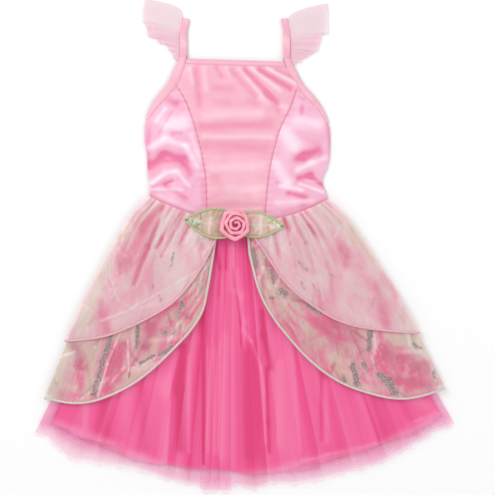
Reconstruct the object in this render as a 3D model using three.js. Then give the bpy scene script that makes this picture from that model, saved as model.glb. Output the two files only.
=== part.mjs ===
// A child's princess costume dress, laid flat on its back.
// Millimetres: +X to the right as seen from above, +Y towards the neck, +Z up from the floor.
// Before it is centred, x = 0, y = 0 is the middle of the waist seam. The satin bodice, its bindings,
// straps and flutter sleeves lie above that seam. The skirt hangs below it in eight layers, from the
// floor up: the backs of the upper overskirt, lower overskirt, tulle and lining, and then the fronts
// of the lining, tulle, lower overskirt and upper overskirt.
import * as THREE from 'three';

// Gaps: between pieces that meet at a seam, and between pieces that lie on each other
const SEAM_GAP = 0.3;
const LAY_GAP = 0.4;

// The skirt fans out from the waist seam to the tulle's hem. On each fan line u runs from -1 at the
// left side fold to 1 at the right, and v from 0 at the waist to 1 at the hem.
const WAIST = { middleX: 3.75, halfWidth: 134.25 };
const WAIST_RISE = { left: 39, right: 34.5, leftPower: 1.8, rightPower: 2.2 };
const HEM = { middleX: 15, halfWidth: 319.5, lowestY: -402, leftRise: 81, rightRise: 99 };
const HEM_STRAND = { u: -0.13, halfWidth: 0.055, drop: 15 };
const LINING = { edge: 0.955, hem: 0.937 };
const CORNER = { upper: 0.6, lower: 0.839 };
const SIDE_ROUNDING = 70;

// Cloth thickness and fold height of the skirt's layers, and how many folds each has across it
const SKIRT_LAYERS = {
  upperBack: { thick: 1.1, fold: 0, folds: 0, columns: 14, rows: 4 },
  lowerBack: { thick: 1.1, fold: 0, folds: 0, columns: 14, rows: 6 },
  tulleBack: { thick: 1.1, fold: 1.6, folds: 7, columns: 21, rows: 7 },
  liningBack: { thick: 1.1, fold: 0, folds: 0, columns: 14, rows: 6 },
  liningFront: { thick: 1.1, fold: 2.4, folds: 7, columns: 21, rows: 8 },
  tulleFront: { thick: 1.5, fold: 3.4, folds: 20, columns: 80, rows: 9 },
  lowerFront: { thick: 1.2, fold: 3.2, folds: 8, columns: 24, rows: 8 },
  upperFront: { thick: 1.2, fold: 3.3, folds: 8, columns: 24, rows: 7 },
};

// How far the overskirts stand out past the tulle at the sides, in millimetres
const OVERSKIRT_SPREAD = [
  { v: 0, upper: 0, lower: 0 }, { v: 0.09, upper: 16, lower: 12 }, { v: 0.2, upper: 20, lower: 16 },
  { v: 0.45, upper: 24, lower: 20 }, { v: 0.6, upper: 22, lower: 18 }, { v: 0.84, upper: 12, lower: 11 },
];

// The overskirts' open front edges, from near the middle of the waist to the side corners
const FRONT_EDGES = {
  lowerLeft: [
    { u: 0.235, v: 0.09 }, { u: 0.25, v: 0.22 }, { u: 0.27, v: 0.33 }, { u: 0.32, v: 0.4 },
    { u: 0.42, v: 0.494 }, { u: 0.635, v: 0.68 }, { u: 0.845, v: 0.8 }, { u: 1, v: CORNER.lower },
  ],
  lowerRight: [
    { u: 0.1, v: 0.12 }, { u: 0.15, v: 0.257 }, { u: 0.215, v: 0.347 }, { u: 0.31, v: 0.447 },
    { u: 0.412, v: 0.546 }, { u: 0.525, v: 0.637 }, { u: 0.638, v: 0.706 }, { u: 0.83, v: 0.8 },
    { u: 1, v: CORNER.lower },
  ],
  upperLeft: [
    { u: 0.22, v: 0.06 }, { u: 0.295, v: 0.156 }, { u: 0.393, v: 0.258 }, { u: 0.472, v: 0.326 },
    { u: 0.593, v: 0.4 }, { u: 0.708, v: 0.466 }, { u: 0.808, v: 0.52 }, { u: 1, v: CORNER.upper },
  ],
  upperRight: [
    { u: 0.15, v: 0.05 }, { u: 0.24, v: 0.124 }, { u: 0.313, v: 0.203 }, { u: 0.39, v: 0.27 },
    { u: 0.506, v: 0.348 }, { u: 0.608, v: 0.414 }, { u: 0.72, v: 0.468 }, { u: 0.829, v: 0.512 },
    { u: 1, v: CORNER.upper - 0.01 },
  ],
};

// The bodice: side folds, princess seams and the inner edges of the armhole bindings, each as
// distances from the middle at heights above the waist
const SIDE_FOLD_LEFT = [
  { y: 250, x: -84 }, { y: 241, x: -88 }, { y: 226, x: -95.3 }, { y: 210.8, x: -102 },
  { y: 195.3, x: -114 }, { y: 181.5, x: -124.5 }, { y: 168, x: -131.4 }, { y: 156, x: -135.3 },
  { y: 128.4, x: -138.5 }, { y: 100, x: -134 }, { y: 73.5, x: -133 }, { y: 51, x: -129 },
  { y: 39, x: -130.5 },
];
const SIDE_FOLD_RIGHT = [
  { y: 248, x: 80.5 }, { y: 236.5, x: 85.5 }, { y: 226, x: 90.8 }, { y: 212.4, x: 97.5 },
  { y: 198, x: 109.5 }, { y: 185.5, x: 120.6 }, { y: 169.5, x: 130.5 }, { y: 152, x: 138 },
  { y: 120, x: 142.8 }, { y: 98.5, x: 140 }, { y: 83.5, x: 136.8 }, { y: 63, x: 129 },
  { y: 51.3, x: 132.5 }, { y: 34.5, x: 138 },
];
const ARMHOLE_LEFT = [
  { y: 250, x: -74.5 }, { y: 240, x: -76 }, { y: 226, x: -80.5 }, { y: 212, x: -86 },
  { y: 195, x: -97.5 }, { y: 181.5, x: -109.5 }, { y: 166.5, x: -123 }, { y: 153.5, x: -133 },
  { y: 148, x: -138 },
];
const ARMHOLE_RIGHT = [
  { y: 248, x: 71.5 }, { y: 236, x: 74.5 }, { y: 222.8, x: 80.5 }, { y: 210.8, x: 89 },
  { y: 194, x: 99.5 }, { y: 180, x: 112 }, { y: 167, x: 125.5 }, { y: 149, x: 136 }, { y: 143, x: 141 },
];
const PRINCESS_LEFT = [
  { y: 204, x: -89 }, { y: 189, x: -80 }, { y: 174.6, x: -72.9 }, { y: 138.5, x: -60.9 },
  { y: 100, x: -51.5 }, { y: 57, x: -45 }, { y: 5, x: -43.5 },
];
const PRINCESS_RIGHT = [
  { y: 202, x: 92 }, { y: 188, x: 87.5 }, { y: 172.8, x: 82 }, { y: 138.5, x: 66.6 },
  { y: 105, x: 56.5 }, { y: 57, x: 48 }, { y: 3, x: 43.5 },
];
const NECK_EDGE = { leftX: -76, leftY: 238, rightX: 74.8, rightY: 233 };
const NECK_BINDING_TOP = { leftX: -74.3, leftY: 246, rightX: 72, rightY: 241.5 };
const BODICE_ROWS = { aboveSeams: 3, armhole: 5, belowArmhole: 8 };
const BACK = { neckY: 214, armholeInset: 0.7, sideInset: 1, columns: 6, rows: 9 };
const SATIN_THICK = 1.4;
const BODICE_STANDS = { waist: 2.4, chest: 2.2, neck: 1.4, rounding: 42, waistY: 10 };
const CREASES = { height: 1, spacing: 60, sway: 0.1, bend: 21, rounding: 30 };
const BINDING_THICK = 1.8;
const UNDERARM = { leftY: 153.5, rightY: 149 };

// Straps and flutter sleeves fold over at the shoulder and come back down underneath
const STRAP = {
  width: 9.5, thick: 1.4, foldY: 305, leftX: -79.2, rightX: 76.2, leanIn: 3.5, leanFromY: 285,
  frontSteps: 9, backSteps: 5,
};
const FOLD_RADIUS = 0.9;
const SLEEVE = {
  thick: 1, waves: 5, waveHeight: 2, backReach: 0.93, columns: 16, rows: 4, turnSteps: 3,
  rowCrowding: 1.4, backWidens: 0.8, gatherHeight: 0.3, footSettles: 0.12, foldSettles: 0.2,
};
// The sleeve's folded edge rises from the strap and then runs outwards: the smaller, the rounder
const SHOULDER_BULGE = { left: 0.22, right: 0.36 };
const SLEEVE_OUTLINES = {
  left: [
    { innerY: 243, outerX: -91.5, outerY: 242 }, { innerY: 255, outerX: -102, outerY: 256 },
    { innerY: 265, outerX: -118, outerY: 269 }, { innerY: 275, outerX: -132, outerY: 278 },
    { innerY: 285, outerX: -139, outerY: 295 }, { innerY: 294, outerX: -142, outerY: 315 },
    { innerY: 301, outerX: -137, outerY: 336 },
  ],
  right: [
    { innerY: 241, outerX: 88.5, outerY: 238 }, { innerY: 253, outerX: 104, outerY: 247 },
    { innerY: 264, outerX: 119, outerY: 256 }, { innerY: 274, outerX: 129, outerY: 274 },
    { innerY: 284, outerX: 137, outerY: 286 }, { innerY: 293, outerX: 139, outerY: 307 },
    { innerY: 299, outerX: 137.5, outerY: 329 },
  ],
};

// Trimmings
const SILVER_EDGING = { width: 5.4, thick: 1.8 };
const ROLLED_EDGING = { width: 2.8, thick: 1.5 };
const EDGING_SIDES = 4;
const LEAF = {
  thick: 1, bridging: 9, columns: 12, rows: 4, tipCrowding: 1.3,
  cord: 3.2, cordEnd: 0.72, cordStations: 9, cordSides: 6, tipTurns: 4, slopeStep: 0.01,
};
const LEAF_AXES = {
  left: { tipX: -74.5, tipY: 3, rootX: -9, rootY: -4, halfWidth: 20.4 },
  right: { tipX: 69.5, tipY: -6, rootX: 9, rootY: -3, halfWidth: 17 },
};
const LEAF_WIDTHS = [
  { along: 0, share: 0.04 }, { along: 0.22, share: 0.49 }, { along: 0.49, share: 0.88 },
  { along: 0.67, share: 1 }, { along: 0.88, share: 0.92 }, { along: 1, share: 0.8 },
];
const ROSE = {
  x: 0, y: -3.5, outerRadius: 21, innerRadius: 3, turns: 4, stepsPerTurn: 12, thick: 1.5,
  flareFrom: 8, flare: 2.2, outerHeight: 10, innerHeight: 15,
};

// Numbers smaller than this count as nothing
const TINY = 1e-6;

const clamp = (value, low, high) => Math.min(high, Math.max(low, value));
const mix = (from, to, share) => from + (to - from) * share;
const ease = (from, to, value) => {
  const t = clamp((value - from) / (to - from), 0, 1);
  return t * t * (3 - 2 * t);
};
const point = (x, y, z = 0) => new THREE.Vector3(x, y, z);

// A smooth function through a table's rows, from one named column to another, without overshoot
function through(rows, inName, outName) {
  const sorted = [...rows].sort((a, b) => a[inName] - b[inName]);
  const xs = sorted.map((row) => row[inName]);
  const ys = sorted.map((row) => row[outName]);
  const steps = xs.slice(1).map((x, i) => (ys[i + 1] - ys[i]) / (x - xs[i]));
  const slopes = xs.map((_, i) => {
    if (i === 0) return steps[0];
    if (i === xs.length - 1) return steps[i - 1];
    return steps[i - 1] * steps[i] <= 0 ? 0 : (2 * steps[i - 1] * steps[i]) / (steps[i - 1] + steps[i]);
  });
  return (x) => {
    const at = clamp(x, xs[0], xs[xs.length - 1]);
    let i = 0;
    while (i < xs.length - 2 && at > xs[i + 1]) i += 1;
    const width = xs[i + 1] - xs[i];
    const t = (at - xs[i]) / width;
    return ys[i] * (1 + 2 * t) * (1 - t) ** 2 + slopes[i] * width * t * (1 - t) ** 2
      + ys[i + 1] * t * t * (3 - 2 * t) + slopes[i + 1] * width * t * t * (t - 1);
  };
}

// The pieces are laid one on another. The pile holds the height of what lies there, cell by cell. A cell
// counts as under a triangle if it is inside it or a small share of its size outside.
const CELL = 2;
const CELLS_ACROSS = 10000;
const CELL_MARGIN = 0.03;
const SETTLING_PASSES = 14;
const pile = new Map();
const cellKey = (i, j) => i * CELLS_ACROSS + j;
const pileAt = (x, y) => pile.get(cellKey(Math.round(x / CELL), Math.round(y / CELL)));

// The highest place of the pile within a distance
function highestNear(x, y, radius) {
  let highest = 0;
  for (let dx = -radius; dx <= radius; dx += CELL) {
    for (let dy = -radius; dy <= radius; dy += CELL) {
      if (Math.hypot(dx, dy) <= radius) highest = Math.max(highest, pileAt(x + dx, y + dy) ?? 0);
    }
  }
  return highest;
}

// Visits the cells under a triangle, with the weights of its three corners
function eachCell(a, b, c, visit) {
  const area = (b.x - a.x) * (c.y - a.y) - (c.x - a.x) * (b.y - a.y);
  if (Math.abs(area) < TINY) return;
  const lowX = Math.ceil(Math.min(a.x, b.x, c.x) / CELL);
  const highX = Math.floor(Math.max(a.x, b.x, c.x) / CELL);
  const lowY = Math.ceil(Math.min(a.y, b.y, c.y) / CELL);
  const highY = Math.floor(Math.max(a.y, b.y, c.y) / CELL);
  for (let i = lowX; i <= highX; i += 1) {
    for (let j = lowY; j <= highY; j += 1) {
      const x = i * CELL;
      const y = j * CELL;
      const shareB = ((x - a.x) * (c.y - a.y) - (c.x - a.x) * (y - a.y)) / area;
      const shareC = ((b.x - a.x) * (y - a.y) - (x - a.x) * (b.y - a.y)) / area;
      const shareA = 1 - shareB - shareC;
      if (Math.min(shareA, shareB, shareC) >= -CELL_MARGIN) visit(i, j, shareA, shareB, shareC);
    }
  }
}

// Lays a sheet's points down on the pile. Where a triangle isn't clear of what is under it, the corners
// nearest to that place are lifted most, and a last pass lifts all three.
function layDown(points, triangles) {
  for (const p of points) p.z = Math.max(0, (pileAt(p.x, p.y) ?? -LAY_GAP) + LAY_GAP);
  for (let pass = 1; pass <= SETTLING_PASSES; pass += 1) {
    const lifts = points.map(() => 0);
    for (const corners of triangles) {
      const [a, b, c] = corners.map((i) => points[i]);
      eachCell(a, b, c, (i, j, ...shares) => {
        const z = a.z * shares[0] + b.z * shares[1] + c.z * shares[2];
        const need = (pile.get(cellKey(i, j)) ?? -LAY_GAP) + LAY_GAP - z;
        if (need <= 0) return;
        const spreadOut = shares.reduce((sum, share) => sum + share * share, 0);
        corners.forEach((corner, k) => {
          const lift = pass === SETTLING_PASSES ? need : (need * shares[k]) / spreadOut;
          lifts[corner] = Math.max(lifts[corner], lift);
        });
      });
    }
    points.forEach((p, i) => { p.z += lifts[i]; });
  }
}

// Records a piece's top in the pile, and on the cells just round it
function addToPile(points, triangles) {
  for (const corners of triangles) {
    const [a, b, c] = corners.map((i) => points[i]);
    eachCell(a, b, c, (i, j, shareA, shareB, shareC) => {
      const z = a.z * shareA + b.z * shareB + c.z * shareC;
      for (const [nextI, nextJ] of [[i, j], [i - 1, j], [i + 1, j], [i, j - 1], [i, j + 1]]) {
        const key = cellKey(nextI, nextJ);
        pile.set(key, Math.max(pile.get(key) ?? 0, z));
      }
    });
  }
}

// The points and triangles of a grid, from pointAt(a, b) with a and b from 0 to 1
function gridOf(columns, rows, pointAt) {
  const points = [];
  const triangles = [];
  for (let j = 0; j <= rows; j += 1) {
    for (let i = 0; i <= columns; i += 1) points.push(pointAt(i / columns, j / rows));
  }
  for (let j = 0; j < rows; j += 1) {
    for (let i = 0; i < columns; i += 1) {
      const corner = j * (columns + 1) + i;
      const below = corner + columns + 1;
      triangles.push([corner, below, below + 1], [corner, below + 1, corner + 1]);
    }
  }
  return { points, triangles };
}

// A closed mesh from corner points and triangles, with its faces turned outwards
function closedMesh(points, triangles) {
  let volume = 0;
  for (const [a, b, c] of triangles) volume += points[a].dot(points[b].clone().cross(points[c]));
  const outward = volume > 0 ? triangles : triangles.map(([a, b, c]) => [a, c, b]);
  const geometry = new THREE.BufferGeometry();
  geometry.setFromPoints(points);
  geometry.setIndex(outward.flat());
  return geometry;
}

// A closed wall of cloth on a grid of points: a second skin moved out, joined to the first all round
function wallOn({ points, triangles }, offsetAt) {
  const count = points.length;
  const outer = points.map((p, i) => p.clone().add(offsetAt(i)));
  const edges = new Map();
  for (const [a, b, c] of triangles) {
    for (const [from, to] of [[a, b], [b, c], [c, a]]) {
      if (edges.has(`${to} ${from}`)) edges.delete(`${to} ${from}`);
      else edges.set(`${from} ${to}`, [from, to]);
    }
  }
  const all = [...triangles];
  for (const [a, b, c] of triangles) all.push([a + count, c + count, b + count]);
  for (const [from, to] of edges.values()) {
    all.push([to, from, from + count], [to, from + count, to + count]);
  }
  return closedMesh([...points, ...outer], all);
}

// A closed tube through stations that each have a place and a sideways direction. Its section is a flat
// box with 4 sides and a flat oval with more.
function tubeAlong(stations, width, thick, sides) {
  const isBox = sides === 4;
  const points = [];
  const triangles = [];
  for (const { place, side } of stations) {
    for (let k = 0; k < sides; k += 1) {
      const turn = (2 * Math.PI * (k + 0.5)) / sides;
      const reach = 1 / Math.cos(Math.PI / sides);
      const sideways = (Math.cos(turn) * reach * width) / 2;
      const up = (thick / 2) * (1 + Math.sin(turn) * (isBox ? reach : 1));
      points.push(place.clone().addScaledVector(side, sideways).add(point(0, 0, up)));
    }
  }
  for (let i = 0; i < stations.length - 1; i += 1) {
    for (let k = 0; k < sides; k += 1) {
      const next = (k + 1) % sides;
      const [a, b] = [i * sides + k, i * sides + next];
      triangles.push([a, b, b + sides], [a, b + sides, a + sides]);
    }
  }
  const last = (stations.length - 1) * sides;
  for (let k = 1; k < sides - 1; k += 1) triangles.push([0, k + 1, k], [last, last + k, last + k + 1]);
  return { points, triangles };
}

// Finishes
const finish = (color, roughness, metalness = 0) => (
  new THREE.MeshStandardMaterial({ color, roughness, metalness }));
const PINK_SATIN = finish(0xf7b4cb, 0.35);
const CENTRE_SATIN = finish(0xf5b2c4, 0.5);
const BINDING_SATIN = finish(0xf8c3d3, 0.55);
const LINING_CLOTH = finish(0xea5a90, 0.7);
const TULLE = finish(0xee72a6, 0.85);
const FILM_ORGANZA = finish(0xdd9fa6, 0.2, 0.2);
const PINK_ORGANZA = finish(0xe8bfc7, 0.4);
const SLEEVE_ORGANZA = finish(0xf8d4e0, 0.6);
const SILVER_THREAD = finish(0xd0c8c0, 0.5, 0.3);
const PINK_THREAD = finish(0xf6b6cc, 0.6);
const GREEN_THREAD = finish(0xa9bd78, 0.6);
const LEAF_ORGANZA = finish(0xdcc3b4, 0.4);
const ROSE_RIBBON = finish(0xf29fb2, 0.45);

const dress = new THREE.Group();
function sew(name, geometry, material) {
  const mesh = new THREE.Mesh(geometry, material);
  mesh.name = name;
  dress.add(mesh);
}

// A sheet of even thickness, laid on the pile with its folds raised above where it rests
function laySheet(name, grid, thick, foldAt, material) {
  layDown(grid.points, grid.triangles);
  grid.points.forEach((p, i) => { p.z += foldAt(i); });
  sew(name, wallOn(grid, () => point(0, 0, thick)), material);
  addToPile(grid.points.map((p) => point(p.x, p.y, p.z + thick)), grid.triangles);
}

// A tube laid on the pile
function layTube(name, stations, width, thick, sides, material) {
  for (const { place } of stations) place.z = highestNear(place.x, place.y, width) + LAY_GAP;
  const along = stations.map(({ place }) => place.z);
  stations.forEach(({ place }, i) => {
    place.z = Math.max(along[Math.max(0, i - 1)], along[i], along[Math.min(along.length - 1, i + 1)]);
  });
  const tube = tubeAlong(stations, width, thick, sides);
  sew(name, closedMesh(tube.points, tube.triangles), material);
  addToPile(tube.points, tube.triangles);
}

// The skirt's plan
const waistY = (x) => {
  const u = (x - WAIST.middleX) / WAIST.halfWidth;
  const { left, leftPower, right, rightPower } = WAIST_RISE;
  return u < 0 ? left * (-u) ** leftPower : right * u ** rightPower;
};
const hemY = (u) => HEM.lowestY + (u < 0 ? HEM.leftRise : HEM.rightRise) * u * u;
const halfWidthAt = (v) => mix(WAIST.halfWidth, HEM.halfWidth, v);
function skirtPlan(u, v, spread = 0) {
  const x = mix(WAIST.middleX, HEM.middleX, v) + (halfWidthAt(v) + spread) * u;
  const top = waistY(WAIST.middleX + WAIST.halfWidth * u) - SEAM_GAP;
  return point(x, mix(top, hemY(u), v));
}

// Folds: 0 in a trough and 1 on a ridge. They are lower in the gathers at the waist and die out
// towards the side folds. Their spacing is uneven.
const wave = (turns) => 0.5 - 0.5 * Math.cos(2 * Math.PI * turns);
const UNEVEN = { broad: 0.018, broadTurns: 9.1, fine: 0.008, fineTurns: 23 };
function uneven(t, shift) {
  const { broad, broadTurns, fine, fineTurns } = UNEVEN;
  const sway = broad * Math.sin(broadTurns * t + shift) + fine * Math.sin(fineTurns * t);
  return t + sway * (1 - t * t);
}
const fullness = (fromSide) => 1 - (1 - clamp(fromSide / SIDE_ROUNDING, 0, 1)) ** 2;
const GATHERS = { height: 0.3, openOutBy: 0.25, mergeFrom: 0.05, mergeBy: 0.4 };
const gatherHeight = (v) => mix(GATHERS.height, 1, ease(0, GATHERS.openOutBy, v));
// Rows lie closer together near the waist and near the hem
const ROW_CROWDING = 0.1;
const crowded = (b) => b - ROW_CROWDING * Math.sin(2 * Math.PI * b);

// A skirt layer that covers the whole front or the whole back
function skirtLayer(name, layerName, { edge = 1, hem, spread = () => 0, shift = 0, material }) {
  const { thick, fold, folds, columns, rows } = SKIRT_LAYERS[layerName];
  const heights = [];
  const grid = gridOf(columns, rows, (a, b) => {
    const t = 2 * a - 1;
    const u = edge * uneven(t, shift);
    const v = crowded(b) * hem(u);
    const fromSide = (1 - Math.abs(t)) * halfWidthAt(v);
    heights.push(fold * wave(folds * a) * gatherHeight(v) * fullness(fromSide));
    return skirtPlan(u, v, spread(v));
  });
  laySheet(name, grid, thick, (i) => heights[i], material);
}

const spreadOf = (column) => through(OVERSKIRT_SPREAD, 'v', column);
const strandDrop = (u) => {
  const near = 1 - ease(0.5, 1, Math.abs(u - HEM_STRAND.u) / HEM_STRAND.halfWidth);
  return (near * HEM_STRAND.drop) / -HEM.lowestY;
};
const HEM_WAVER = { depth: 0.006, count: 4.5, shift: 0.3 };
const tulleHem = (u) => {
  const { depth, count, shift } = HEM_WAVER;
  return 1 + strandDrop(u) - depth * wave(count * u + shift);
};
const BACK_SHORTER = 0.012;

skirtLayer('overskirt_upper_back', 'upperBack',
  { hem: () => CORNER.upper - BACK_SHORTER, spread: spreadOf('upper'), material: PINK_ORGANZA });
skirtLayer('overskirt_lower_back', 'lowerBack',
  { hem: () => CORNER.lower - BACK_SHORTER, spread: spreadOf('lower'), material: FILM_ORGANZA });
skirtLayer('tulle_back', 'tulleBack', { hem: () => 1 - BACK_SHORTER, shift: 2, material: TULLE });
skirtLayer('lining_back', 'liningBack', { ...LINING, hem: () => LINING.hem, material: LINING_CLOTH });
skirtLayer('lining_front', 'liningFront',
  { ...LINING, hem: () => LINING.hem, shift: 1, material: LINING_CLOTH });
skirtLayer('tulle_front', 'tulleFront', { hem: tulleHem, shift: 0.6, material: TULLE });

// One side of an overskirt, from its side fold (a = 0) to the front edge that curves away (a = 1)
function overskirtSide({ name, layerName, column, side, edge, shift, material }) {
  const { thick, fold, folds, columns, rows } = SKIRT_LAYERS[layerName];
  const spread = spreadOf(column);
  const edgeV = through(edge, 'u', 'v');
  const heights = [];
  const grid = gridOf(columns, rows, (a, b) => {
    const u = mix(1, edge[0].u, a);
    const v = crowded(b) * edgeV(u);
    const gathers = wave(folds * a + shift);
    const drapes = wave((folds / 2) * a + shift);
    const fromSide = (1 - u) * halfWidthAt(v);
    const merged = mix(gathers, drapes, ease(GATHERS.mergeFrom, GATHERS.mergeBy, v));
    heights.push(fold * merged * gatherHeight(v) * fullness(fromSide));
    return skirtPlan(side * u, v, spread(v));
  });
  laySheet(name, grid, thick, (i) => heights[i], material);
  const at = (i, j) => grid.points[j * (columns + 1) + i];
  const downTheFront = Array.from({ length: rows - 1 }, (_, j) => at(columns, j + 1));
  const outToTheCorner = Array.from({ length: columns + 1 }, (_, i) => at(columns - i, rows));
  return [...downTheFront, ...outToTheCorner].map((p) => point(p.x, p.y));
}

// The stations of a band just outside a line of points, mitred at each point, away from a place inside
function stationsBeside(feet, width, inside) {
  return feet.map((foot, i) => {
    const before = foot.clone().sub(feet[Math.max(0, i - 1)]).normalize();
    const after = feet[Math.min(feet.length - 1, i + 1)].clone().sub(foot).normalize();
    const along = before.add(after);
    const mitre = 2 / Math.max(1, along.length());
    along.normalize();
    const side = point(along.y, -along.x);
    if (side.dot(inside.clone().sub(foot)) > 0) side.negate();
    const atEnd = i === 0 || i === feet.length - 1;
    const out = (width / 2 + SEAM_GAP) * (atEnd ? 1 : mitre);
    return { place: foot.clone().addScaledVector(side, out), side };
  });
}

const lowerParts = { layerName: 'lowerFront', column: 'lower', material: FILM_ORGANZA };
const upperParts = { layerName: 'upperFront', column: 'upper', material: PINK_ORGANZA };
const OVERSKIRTS = [
  { name: 'lower_left', ...lowerParts, side: -1, edge: FRONT_EDGES.lowerLeft, shift: 0.1 },
  { name: 'lower_right', ...lowerParts, side: 1, edge: FRONT_EDGES.lowerRight, shift: 0.35 },
  { name: 'upper_left', ...upperParts, side: -1, edge: FRONT_EDGES.upperLeft, shift: 0.5 },
  { name: 'upper_right', ...upperParts, side: 1, edge: FRONT_EDGES.upperRight, shift: 0.8 },
];
for (const part of OVERSKIRTS) {
  const edgeFeet = overskirtSide({ ...part, name: `overskirt_${part.name}` });
  const isLower = part.column === 'lower';
  const band = isLower ? SILVER_EDGING : ROLLED_EDGING;
  const inside = skirtPlan(part.side * 0.9, 0.2);
  layTube(`edging_${part.name}`, stationsBeside(edgeFeet, band.width, inside), band.width, band.thick,
    EDGING_SIDES, isLower ? SILVER_THREAD : PINK_THREAD);
}

// The bodice's outlines as functions of the height above the waist
const sideLeft = through(SIDE_FOLD_LEFT, 'y', 'x');
const sideRight = through(SIDE_FOLD_RIGHT, 'y', 'x');
const armLeft = through(ARMHOLE_LEFT, 'y', 'x');
const armRight = through(ARMHOLE_RIGHT, 'y', 'x');
const seamLeft = through(PRINCESS_LEFT, 'y', 'x');
const seamRight = through(PRINCESS_RIGHT, 'y', 'x');

// The front lies on the back, rounds up from the side folds, and has soft creases across it
const fromSideFold = (x, y) => Math.min(x - sideLeft(y), sideRight(y) - x);
function bodiceLevel(x, y) {
  const { waist, chest, neck, rounding } = BODICE_STANDS;
  const stands = y < UNDERARM.leftY ? mix(waist, chest, ease(BODICE_STANDS.waistY, UNDERARM.leftY, y))
    : mix(chest, neck, ease(UNDERARM.leftY, NECK_EDGE.leftY, y));
  const round = 1 - (1 - clamp(fromSideFold(x, y) / rounding, 0, 1)) ** 2;
  return SATIN_THICK + SEAM_GAP + round * stands;
}
function bodiceCrease(x, y) {
  const { height, spacing, bend, sway, rounding } = CREASES;
  const across = wave(y / spacing + sway * Math.sin(x / bend));
  return height * across * clamp(fromSideFold(x, y) / rounding, 0, 1);
}

// The rows of the front's panels and bindings: down from the neck to the tops of the princess seams,
// to the underarms, and to the waist seam. Pieces that meet share them.
function rowY(row, end, bottomY) {
  const { aboveSeams, armhole, belowArmhole } = BODICE_ROWS;
  if (row < aboveSeams) return mix(end.neckY, end.seamY, row / aboveSeams);
  if (row < aboveSeams + armhole) return mix(end.seamY, end.underarmY, (row - aboveSeams) / armhole);
  return mix(end.underarmY, bottomY, (row - aboveSeams - armhole) / belowArmhole);
}
const LEFT_END = { neckY: NECK_EDGE.leftY, seamY: PRINCESS_LEFT[0].y, underarmY: UNDERARM.leftY };
const RIGHT_END = { neckY: NECK_EDGE.rightY, seamY: PRINCESS_RIGHT[0].y, underarmY: UNDERARM.rightY };
const BOTTOM_ROW = BODICE_ROWS.aboveSeams + BODICE_ROWS.armhole + BODICE_ROWS.belowArmhole;

// A bodice panel between two seams, from its first row down to the waist seam
function bodicePanel(name, [leftX, leftEnd], [rightX, rightEnd], firstRow, columns, material) {
  const rows = BOTTOM_ROW - firstRow;
  const grid = gridOf(columns, rows, (a, b) => {
    const row = firstRow + b * rows;
    const bottomX = mix(leftX(waistY(leftX(0))), rightX(waistY(rightX(0))), a);
    const bottomY = waistY(bottomX) + SEAM_GAP;
    const y = mix(rowY(row, leftEnd, bottomY), rowY(row, rightEnd, bottomY), a);
    const x = mix(leftX(y) + SEAM_GAP / 2, rightX(y) - SEAM_GAP / 2, a);
    return point(x, y, bodiceLevel(x, y) + bodiceCrease(x, y));
  });
  sew(name, wallOn(grid, () => point(0, 0, SATIN_THICK)), material);
  addToPile(grid.points.map((p) => point(p.x, p.y, p.z + SATIN_THICK)), grid.triangles);
}
const centreLeft = (y) => (y > LEFT_END.seamY ? armLeft(y) + SEAM_GAP : seamLeft(y));
const centreRight = (y) => (y > RIGHT_END.seamY ? armRight(y) - SEAM_GAP : seamRight(y));
const outerLeft = (y) => Math.max(sideLeft(y), armLeft(y) + SEAM_GAP);
const outerRight = (y) => Math.min(sideRight(y), armRight(y) - SEAM_GAP);
const { aboveSeams } = BODICE_ROWS;
const PANEL_COLUMNS = { centre: 10, side: 8 };
bodicePanel('bodice_front_centre', [centreLeft, LEFT_END], [centreRight, RIGHT_END], 0,
  PANEL_COLUMNS.centre, CENTRE_SATIN);
bodicePanel('bodice_front_left', [outerLeft, LEFT_END], [seamLeft, LEFT_END], aboveSeams,
  PANEL_COLUMNS.side, PINK_SATIN);
bodicePanel('bodice_front_right', [seamRight, RIGHT_END], [outerRight, RIGHT_END], aboveSeams,
  PANEL_COLUMNS.side, PINK_SATIN);

// The back lies on the floor: two panels that meet down the middle
function backPanel(name, side, sideFold, armhole, underarmY) {
  const outerX = (y) => (y > underarmY ? mix(sideFold(y), armhole(y), BACK.armholeInset) : sideFold(y));
  const grid = gridOf(BACK.columns, BACK.rows, (a, b) => {
    const bottomX = mix(WAIST.middleX, sideFold(waistY(sideFold(0))), a);
    const y = mix(BACK.neckY, waistY(bottomX) + SEAM_GAP, b);
    const seamX = WAIST.middleX + (side * SEAM_GAP) / 2;
    return point(mix(seamX, outerX(y) - side * BACK.sideInset, a), y);
  });
  sew(name, wallOn(grid, () => point(0, 0, SATIN_THICK)), CENTRE_SATIN);
}
backPanel('bodice_back_left', -1, sideLeft, armLeft, UNDERARM.leftY);
backPanel('bodice_back_right', 1, sideRight, armRight, UNDERARM.rightY);

// Bindings: a flat strip between two edges, on a level with the panels beside it
function bindingStrip(name, columns, rows, pointAt) {
  const grid = gridOf(columns, rows, (a, b) => {
    const p = pointAt(a, b);
    return point(p.x, p.y, bodiceLevel(p.x, p.y));
  });
  sew(name, wallOn(grid, () => point(0, 0, BINDING_THICK)), BINDING_SATIN);
}
bindingStrip('neck_binding', 12, 2, (a, b) => {
  const along = ({ leftX, leftY, rightX, rightY }) => (
    point(mix(leftX, rightX, a), mix(leftY, rightY, a)));
  return along(NECK_EDGE).add(point(0, SEAM_GAP)).lerp(along(NECK_BINDING_TOP), b);
});
function armholeBinding(name, end, topY, armhole, sideFold) {
  const rows = aboveSeams + BODICE_ROWS.armhole + 1;
  bindingStrip(name, rows, 2, (a, b) => {
    const row = a * rows - 1;
    const y = row < 0 ? mix(end.neckY, topY, -row) : rowY(row, end, 0);
    return point(mix(armhole(y), sideFold(y), b), y);
  });
}
armholeBinding('armhole_binding_left', LEFT_END, SIDE_FOLD_LEFT[0].y, armLeft, sideLeft);
armholeBinding('armhole_binding_right', RIGHT_END, SIDE_FOLD_RIGHT[0].y, armRight, sideRight);

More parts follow.
